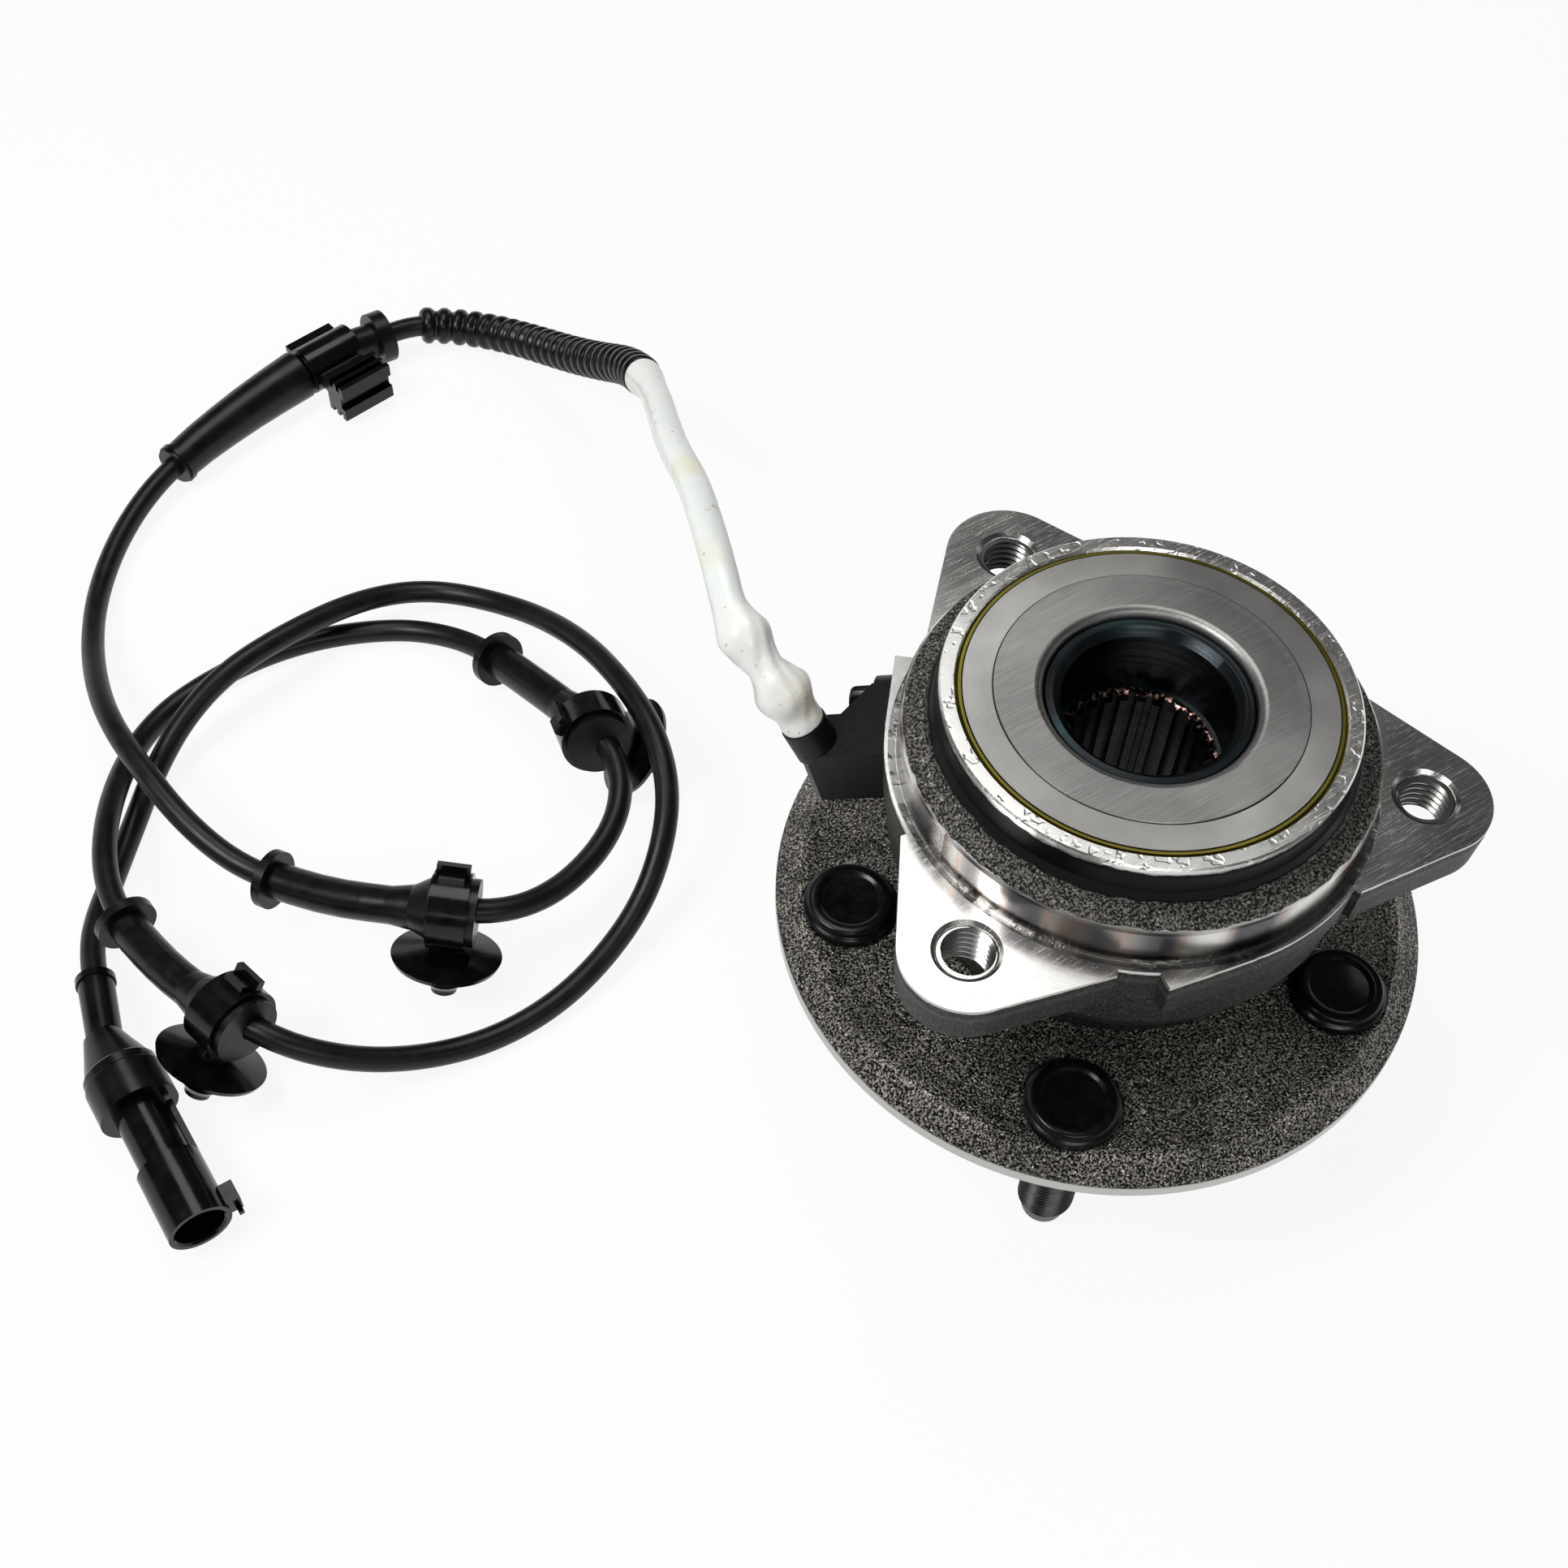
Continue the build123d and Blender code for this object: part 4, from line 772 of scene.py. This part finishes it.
def part_of_line(line, start, end):
    """The points of the line between two places given as a run and a fraction of it."""
    route = cable_points()
    ends = []
    for place in (start, end):
        run = int(place)
        at = route[run].lerp(route[run + 1], place - run)
        ends.append(min(range(len(line)), key=lambda i: (line[i] - at).length))
    return line[ends[0]:ends[1] + 1]


def line_length(line):
    return sum((b - a).length for a, b in zip(line, line[1:]))


def bent_along(piece, line):
    """Bends a straight piece, which stands on z = 0, along a line."""
    curve = bpy.data.curves.new("guide", "CURVE")
    curve.dimensions = "3D"
    spline = curve.splines.new("POLY")
    spline.points.add(len(line) - 1)
    for point, at in zip(spline.points, line):
        point.co = (*at, 1.0)
    guide = bpy.data.objects.new("guide", curve)
    bpy.context.scene.collection.objects.link(guide)
    bend = piece.modifiers.new("Bend", "CURVE")
    bend.object = guide
    bend.deform_axis = "POS_Z"
    bpy.context.view_layer.update()
    pick(piece)
    bpy.ops.object.modifier_apply(modifier=bend.name)
    bpy.data.objects.remove(guide)
    bpy.data.curves.remove(curve)
    return piece


def hump(at, centre, width):
    """A smooth hump of height 1 round a centre."""
    return exp(-((at - centre) / width) ** 2)


class HUB_OT_cable(bpy.types.Operator):
    """Lay the sensor cable along its route"""

    bl_idname = "hub.cable"
    bl_label = "Sensor cable"

    def execute(self, context):
        radius = context.scene.hub_sizes.cable_diameter / 2
        curve = bpy.data.curves.new("harness_cable", "CURVE")
        curve.dimensions = "3D"
        curve.bevel_depth = radius
        curve.bevel_resolution = 5
        curve.resolution_u = 6
        curve.use_fill_caps = True
        spline = curve.splines.new("NURBS")
        points = cable_points()
        spline.points.add(len(points) - 1)
        for point, at in zip(spline.points, points):
            point.co = (*at, 1.0)
        spline.order_u = 3
        spline.use_endpoint_u = True
        cable = bpy.data.objects.new("harness_cable", curve)
        context.scene.collection.objects.link(cable)
        curve.materials.append(FINISHES["cable"])
        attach(cable, "housing")
        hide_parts("sensor_cable")
        return {"FINISHED"}


class HUB_OT_sleeve(bpy.types.Operator):
    """Shrink the white heat sleeve over the cable"""

    bl_idname = "hub.sleeve"
    bl_label = "Heat sleeve"

    def execute(self, context):
        sizes = context.scene.hub_sizes
        line = part_of_line(cable_line(bpy.data.objects["harness_cable"]), *SLEEVE_SPAN)
        total = line_length(line)
        radius = sizes.sleeve_radius
        inner = sizes.cable_diameter / 2 + 0.0003
        steps = 170
        outline = [(inner, 0.0)]
        for i in range(steps + 1):
            z = total * i / steps
            swell = sum(wider * hump(z, at, width) for at, wider, width in SLEEVE_SWELLS)
            outline.append((radius + swell, z))
        outline += [(inner, total * i / steps) for i in range(steps, -1, -1)]
        sleeve = turned("white_sleeve", outline, 48)
        for vertex in sleeve.data.vertices:
            x, y, z = vertex.co
            if x * x + y * y < (inner * 1.05) ** 2:
                continue
            reach = (x * x + y * y) ** 0.5
            side = Vector((x, y)) / reach
            push = 0.0010 * hump(z, 0.0132, 0.0018) * max(0.0, side.dot(SLEEVE_KNOB_SIDE)) ** 4
            push += 0.0006 * hump(z, 0.0235, 0.0040) * max(0.0, -side.dot(SLEEVE_KNOB_SIDE)) ** 2
            push += 0.00022 * sin(z * 700 + 2 * x * 1000) * hump(z, 0.016, 0.012)
            push += 0.00006 * sin(z * 130 + y * 600)
            vertex.co.x += side.x * push
            vertex.co.y += side.y * push
        bent_along(sleeve, line)
        smooth = sleeve.modifiers.new("Soft", "SMOOTH")
        smooth.iterations = 2
        bpy.ops.object.modifier_apply(modifier=smooth.name)
        finished(sleeve, "housing", "sleeve", 60)
        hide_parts("heat_sleeve")
        return {"FINISHED"}


class HUB_OT_conduit(bpy.types.Operator):
    """Run the corrugated conduit over the cable"""

    bl_idname = "hub.conduit"
    bl_label = "Corrugated conduit"

    def execute(self, context):
        sizes = context.scene.hub_sizes
        line = part_of_line(cable_line(bpy.data.objects["harness_cable"]), *CONDUIT_SPAN)
        total = line_length(line)
        pitch = total / sizes.conduit_ridges
        ridge = sizes.conduit_radius
        valley = ridge - 0.0011
        inner = sizes.cable_diameter / 2 + 0.0002
        # One ridge, as parts of the pitch and of the ridge's height.
        shape = ((0.00, 0.06), (0.08, 0.0), (0.17, 0.08), (0.28, 0.55), (0.40, 0.93), (0.50, 1.0),
                 (0.65, 1.0), (0.76, 0.92), (0.90, 0.45))
        outline = [(inner, 0.0)]
        for i in range(sizes.conduit_ridges):
            for along, out in shape:
                outline.append((valley + (ridge - valley) * out, (i + along) * pitch))
        inside = 4 * sizes.conduit_ridges
        outline += [(valley, total)] + [(inner, total * i / inside) for i in range(inside, -1, -1)]
        conduit = turned("split_conduit", outline, 40)
        bent_along(conduit, line)
        finished(conduit, "housing", "conduit", 50)
        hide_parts("conduit")
        return {"FINISHED"}


# ------------------------------------------------------------- the fasteners


class HUB_OT_studs(bpy.types.Operator):
    """Turn the five wheel studs with their stepped heads and cut threads"""

    bl_idname = "hub.studs"
    bl_label = "Wheel studs"

    def execute(self, context):
        sizes = context.scene.hub_sizes
        crest, pitch = sizes.stud_radius, sizes.stud_pitch
        root = crest - 0.61 * pitch
        seat = STUD_SEAT_Z
        head_r, head_t = 0.0105, 0.0044
        # The head's steps, as parts of its radius and thickness.
        head = [(0, 0.84), (0.60, 0.84), (0.64, 0.87), (0.69, 0.98), (0.72, 1.0), (0.84, 1.0), (0.88, 0.96),
                (0.91, 0.86), (0.91, 0.68), (0.94, 0.60), (0.985, 0.55), (1.0, 0.50), (1.0, 0.1), (0.97, 0.0)]
        shank = [(0.0066, seat), (0.0066, 0.0002), (root, -0.0004), (root, FLOOR_Z + 0.0062),
                 (crest - 0.00135, FLOOR_Z + 0.0048), (crest - 0.00135, FLOOR_Z + 0.0012),
                 (crest - 0.0017, FLOOR_Z + 0.0004), (crest - 0.00245, FLOOR_Z), (0, FLOOR_Z)]
        blank = turned("stud_blank", [(r * head_r, seat + t * head_t) for r, t in head] + shank, 56)
        flank = [(root, 0.0), (crest, 0.42 * pitch), (crest, 0.56 * pitch), (root, 0.98 * pitch),
                 (root, pitch)]
        thread = screwed("stud_thread", flank, pitch, FLOOR_Z + 0.0058, -0.0003, 28)
        first = joined([blank, thread], "stud_1")
        matrices = [turn_about_axis(STUD_CIRCLE_R, STUD_FIRST + 72 * i) for i in range(5)]
        studs = [twin(first, f"stud_{i + 1}_placed", matrix) for i, matrix in enumerate(matrices)]
        bpy.data.objects.remove(first)
        for i, stud in enumerate(studs):
            stud.name = f"stud_{i + 1}"
            finished(stud, "hub", "stud", 32)
            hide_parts("wheel_studs")
        return {"FINISHED"}


class HUB_OT_sensor_screw(bpy.types.Operator):
    """Make the sensor's screw with its knurled socket head"""

    bl_idname = "hub.sensor_screw"
    bl_label = "Sensor screw"

    def execute(self, context):
        low, high, side, shank = 0.0046, 0.0106, 0.0045, 0.0030
        outline = [(0, high), (side - 0.0007, high), (side - 0.0002, high - 0.0002), (side, high - 0.0008),
                   (side, low + 0.0006), (side - 0.0003, low), (shank, low), (shank, -0.0094),
                   (shank - 0.0006, -0.0100), (0, -0.0100)]
        sides, pressed = 88, 0.945
        screw = turned("sensor_screw_knurled", outline, sides)
        for vertex in screw.data.vertices:
            x, y, z = vertex.co
            if x * x + y * y < (side - 0.0001) ** 2:
                continue
            if round(atan2(y, x) / (2 * pi) * sides) % 2:
                vertex.co.x *= pressed
                vertex.co.y *= pressed
        unselect()
        bpy.ops.mesh.primitive_cylinder_add(
            vertices=6, radius=0.0029, depth=0.006, location=(0, 0, high))
        socket = bpy.context.object
        cut = screw.modifiers.new("Socket", "BOOLEAN")
        cut.operation = "DIFFERENCE"
        cut.object = socket
        pick(screw)
        bpy.ops.object.modifier_apply(modifier=cut.name)
        bpy.data.objects.remove(socket)
        out, tilt = radians(SENSOR_AZIMUTH), radians(SENSOR_TILT)
        along = Vector((cos(out) * cos(tilt), sin(out) * cos(tilt), -sin(tilt)))
        up = Vector((cos(out) * sin(tilt), sin(out) * sin(tilt), cos(tilt)))
        across = up.cross(along)
        origin = Vector((SENSOR_R * cos(out), SENSOR_R * sin(out), SENSOR_Z))
        place = Matrix((across, up, along)).transposed().to_4x4()
        place.translation = origin + across * SENSOR_SCREW_ACROSS + up * SENSOR_SCREW_UP
        screw.matrix_world = place
        settle(screw)
        finished(screw, "housing", "stud", 20)
        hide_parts("sensor_screw")
        return {"FINISHED"}


class HUB_OT_knuckle_threads(bpy.types.Operator):
    """Cut the threads of the three holes in the knuckle flange"""

    bl_idname = "hub.knuckle_threads"
    bl_label = "Knuckle hole threads"

    def execute(self, context):
        sizes = context.scene.hub_sizes
        wall, pitch = sizes.hole_radius + 0.00003, sizes.hole_pitch
        crest = sizes.hole_radius - 0.55 * pitch
        ridge = [(wall, 0.06 * pitch), (crest, 0.43 * pitch), (crest, 0.57 * pitch), (wall, 0.94 * pitch),
                 (wall, 0.06 * pitch)]
        low, high = 0.0452, KNUCKLE_FACE_Z - 0.0009
        first = screwed("knuckle_thread", ridge, pitch, low, high, 40)
        for i in range(3):
            matrix = turn_about_axis(KNUCKLE_HOLE_CIRCLE_R, KNUCKLE_HOLE_FIRST + 120 * i)
            thread = twin(first, f"knuckle_thread_{i + 1}", matrix)
            finished(thread, "housing", "thread", 30)
        bpy.data.objects.remove(first)
        return {"FINISHED"}


class HUB_OT_finishes(bpy.types.Operator):
    """Build the finishes and give one to every solid part"""

    bl_idname = "hub.finishes"
    bl_label = "Finishes"

    def execute(self, context):
        for build in (build_spin_place, build_turning_marks, build_cast_grain, build_scratches,
                      build_grinding, build_mottle):
            build()
        FINISHES.update(build_finishes(context.scene.hub_colours))
        missing = sorted(set(NODES) - set(CAD_FINISHES))
        if missing:
            raise RuntimeError(f"no finish is named for {missing}")
        for name, finish in CAD_FINISHES.items():
            mesh = NODES[name].data
            mesh.materials.clear()
            mesh.materials.append(FINISHES[finish])
        return {"FINISHED"}


class HUB_OT_declare_cable(bpy.types.Operator):
    """Gather into a list the pieces that hang on the cable, once all of its pieces are there; nothing uses
    the list
    """

    bl_idname = "hub.declare_cable"
    bl_label = "Cable facts"

    def execute(self, context):
        names = [f"{kind}_{i}" for kind in ("grommet", "clip") for i in range(1, 5)]
        names += ["connector_boot", "connector_shell", "connector_pins"]
        on_cable = [NODES[name] for name in names if not NODES[name].hide_render]
        on_cable += [bpy.data.objects[name] for name in ("white_sleeve", "split_conduit")]
        return {"FINISHED"}


# ----------------------------------------------------------------- the stage


def softbox(name, azimuth, height, distance, size, power):
    """A soft lamp aimed at the part from a direction in degrees."""
    middle = Vector((-0.04, 0.06, 0.03))
    around, up = radians(azimuth), radians(height)
    away = Vector((cos(up) * cos(around), cos(up) * sin(around), sin(up)))
    data = bpy.data.lights.new(name, "AREA")
    data.shape = "ELLIPSE"
    data.size, data.size_y = size
    data.energy = power
    light = bpy.data.objects.new(name, data)
    light.location = middle + away * distance
    light.rotation_euler = (-away).to_track_quat("-Z", "Y").to_euler()
    bpy.context.scene.collection.objects.link(light)
    return light


def floor_finish(white):
    """Seamless white floor that keeps a faint shadow."""
    material = bpy.data.materials.new("Seamless floor")
    material.use_nodes = True
    tree = material.node_tree
    tree.nodes.clear()
    matt = node(tree, "ShaderNodeBsdfDiffuse", {"Color": tuple(white)})
    glow = node(tree, "ShaderNodeEmission", {"Color": (1, 1, 1, 1), "Strength": 1.0})
    path = node(tree, "ShaderNodeLightPath").outputs
    seen = calc(tree, "MAXIMUM", path["Is Camera Ray"],
                calc(tree, "MAXIMUM", path["Is Glossy Ray"], path["Is Transmission Ray"]))
    both = node(tree, "ShaderNodeMixShader", {
        0: calc(tree, "MULTIPLY", seen, 0.90), 1: matt.outputs[0], 2: glow.outputs[0]})
    node(tree, "ShaderNodeOutputMaterial", {"Surface": both.outputs[0]})
    return material


class HUB_OT_stage(bpy.types.Operator):
    """Set up the floor, the lights and the camera"""

    bl_idname = "hub.stage"
    bl_label = "Stage"

    def execute(self, context):
        studio = context.scene.hub_studio
        scene = context.scene
        under = FLOOR_Z - 0.00005
        flat, curve = 2.4, 0.9
        sweep = [(0, under), (flat, under)]
        for a in range(10, 71, 10):
            sweep.append((flat + curve * sin(radians(a)), under + curve * (1 - cos(radians(a)))))
        floor = turned("seamless_floor", sweep, 48)
        floor.data.materials.append(floor_finish(studio.floor_white))
        pick(floor)
        bpy.ops.object.shade_smooth_by_angle(angle=radians(40))

        softbox("key_softbox", 70, 70, 1.3, (0.84, 0.84), studio.key_power)
        softbox("side_softbox", 172, 52, 1.2, (0.5, 0.5), studio.side_power)
        softbox("strip_softbox", 250, 40, 1.2, (0.8, 0.12), studio.side_power * 0.25)

        world = bpy.data.worlds.new("Room")
        scene.world = world
        world.use_nodes = True
        tree = world.node_tree
        tree.nodes.clear()
        room = node(tree, "ShaderNodeBackground", {"Color": (1, 1, 1, 1), "Strength": studio.room_level})
        seen = node(tree, "ShaderNodeBackground", {"Color": (1, 1, 1, 1), "Strength": 1.0})
        looks = node(tree, "ShaderNodeLightPath").outputs["Is Camera Ray"]
        both = node(tree, "ShaderNodeMixShader", {0: looks, 1: room.outputs[0], 2: seen.outputs[0]})
        node(tree, "ShaderNodeOutputWorld", {"Surface": both.outputs[0]})

        data = bpy.data.cameras.new("camera")
        data.lens = 48.70
        data.sensor_width = 36.0
        data.sensor_fit = "HORIZONTAL"
        data.clip_start = 0.01
        camera = bpy.data.objects.new("camera", data)
        right = Vector((0.8396, -0.5421, 0.0340)).normalized()
        look = Vector((0.3438, 0.4821, -0.8058)).normalized()
        up = right.cross(look).normalized()
        right = look.cross(up)
        camera.matrix_world = Matrix.Translation((-0.21580, -0.17762, 0.40683)) @ Matrix(
            (right, up, -look)).transposed().to_4x4()
        scene.collection.objects.link(camera)
        scene.camera = camera
        scene.view_settings.view_transform = "Standard"
        return {"FINISHED"}


class HUB_PT_panel(bpy.types.Panel):
    """Buttons for the pieces and the stage"""

    bl_idname = "HUB_PT_panel"
    bl_label = "Wheel hub bearing"
    bl_space_type = "VIEW_3D"
    bl_region_type = "UI"
    bl_category = "Hub"

    def draw(self, context):
        layout = self.layout
        for group in (context.scene.hub_sizes, context.scene.hub_colours, context.scene.hub_studio):
            box = layout.box()
            for name in group.__annotations__:
                box.prop(group, name)
        for step in STEPS:
            layout.operator(step.bl_idname)


STEPS = (
    HUB_OT_finishes,
    HUB_OT_stage,
    HUB_OT_cable,
    HUB_OT_sleeve,
    HUB_OT_conduit,
    HUB_OT_studs,
    HUB_OT_sensor_screw,
    HUB_OT_knuckle_threads,
    HUB_OT_declare_cable,
)
CLASSES = (HubSizes, HubColours, StudioSettings, *STEPS, HUB_PT_panel)


def register():
    for each in CLASSES:
        bpy.utils.register_class(each)
    bpy.types.Scene.hub_sizes = bpy.props.PointerProperty(type=HubSizes)
    bpy.types.Scene.hub_colours = bpy.props.PointerProperty(type=HubColours)
    bpy.types.Scene.hub_studio = bpy.props.PointerProperty(type=StudioSettings)


def unregister():
    del bpy.types.Scene.hub_studio
    del bpy.types.Scene.hub_colours
    del bpy.types.Scene.hub_sizes
    for each in reversed(CLASSES):
        bpy.utils.unregister_class(each)


def main():
    register()
    for step in STEPS:
        family, name = step.bl_idname.split(".")
        getattr(getattr(bpy.ops, family), name)()
    unselect()


if __name__ == "__main__":
    main()
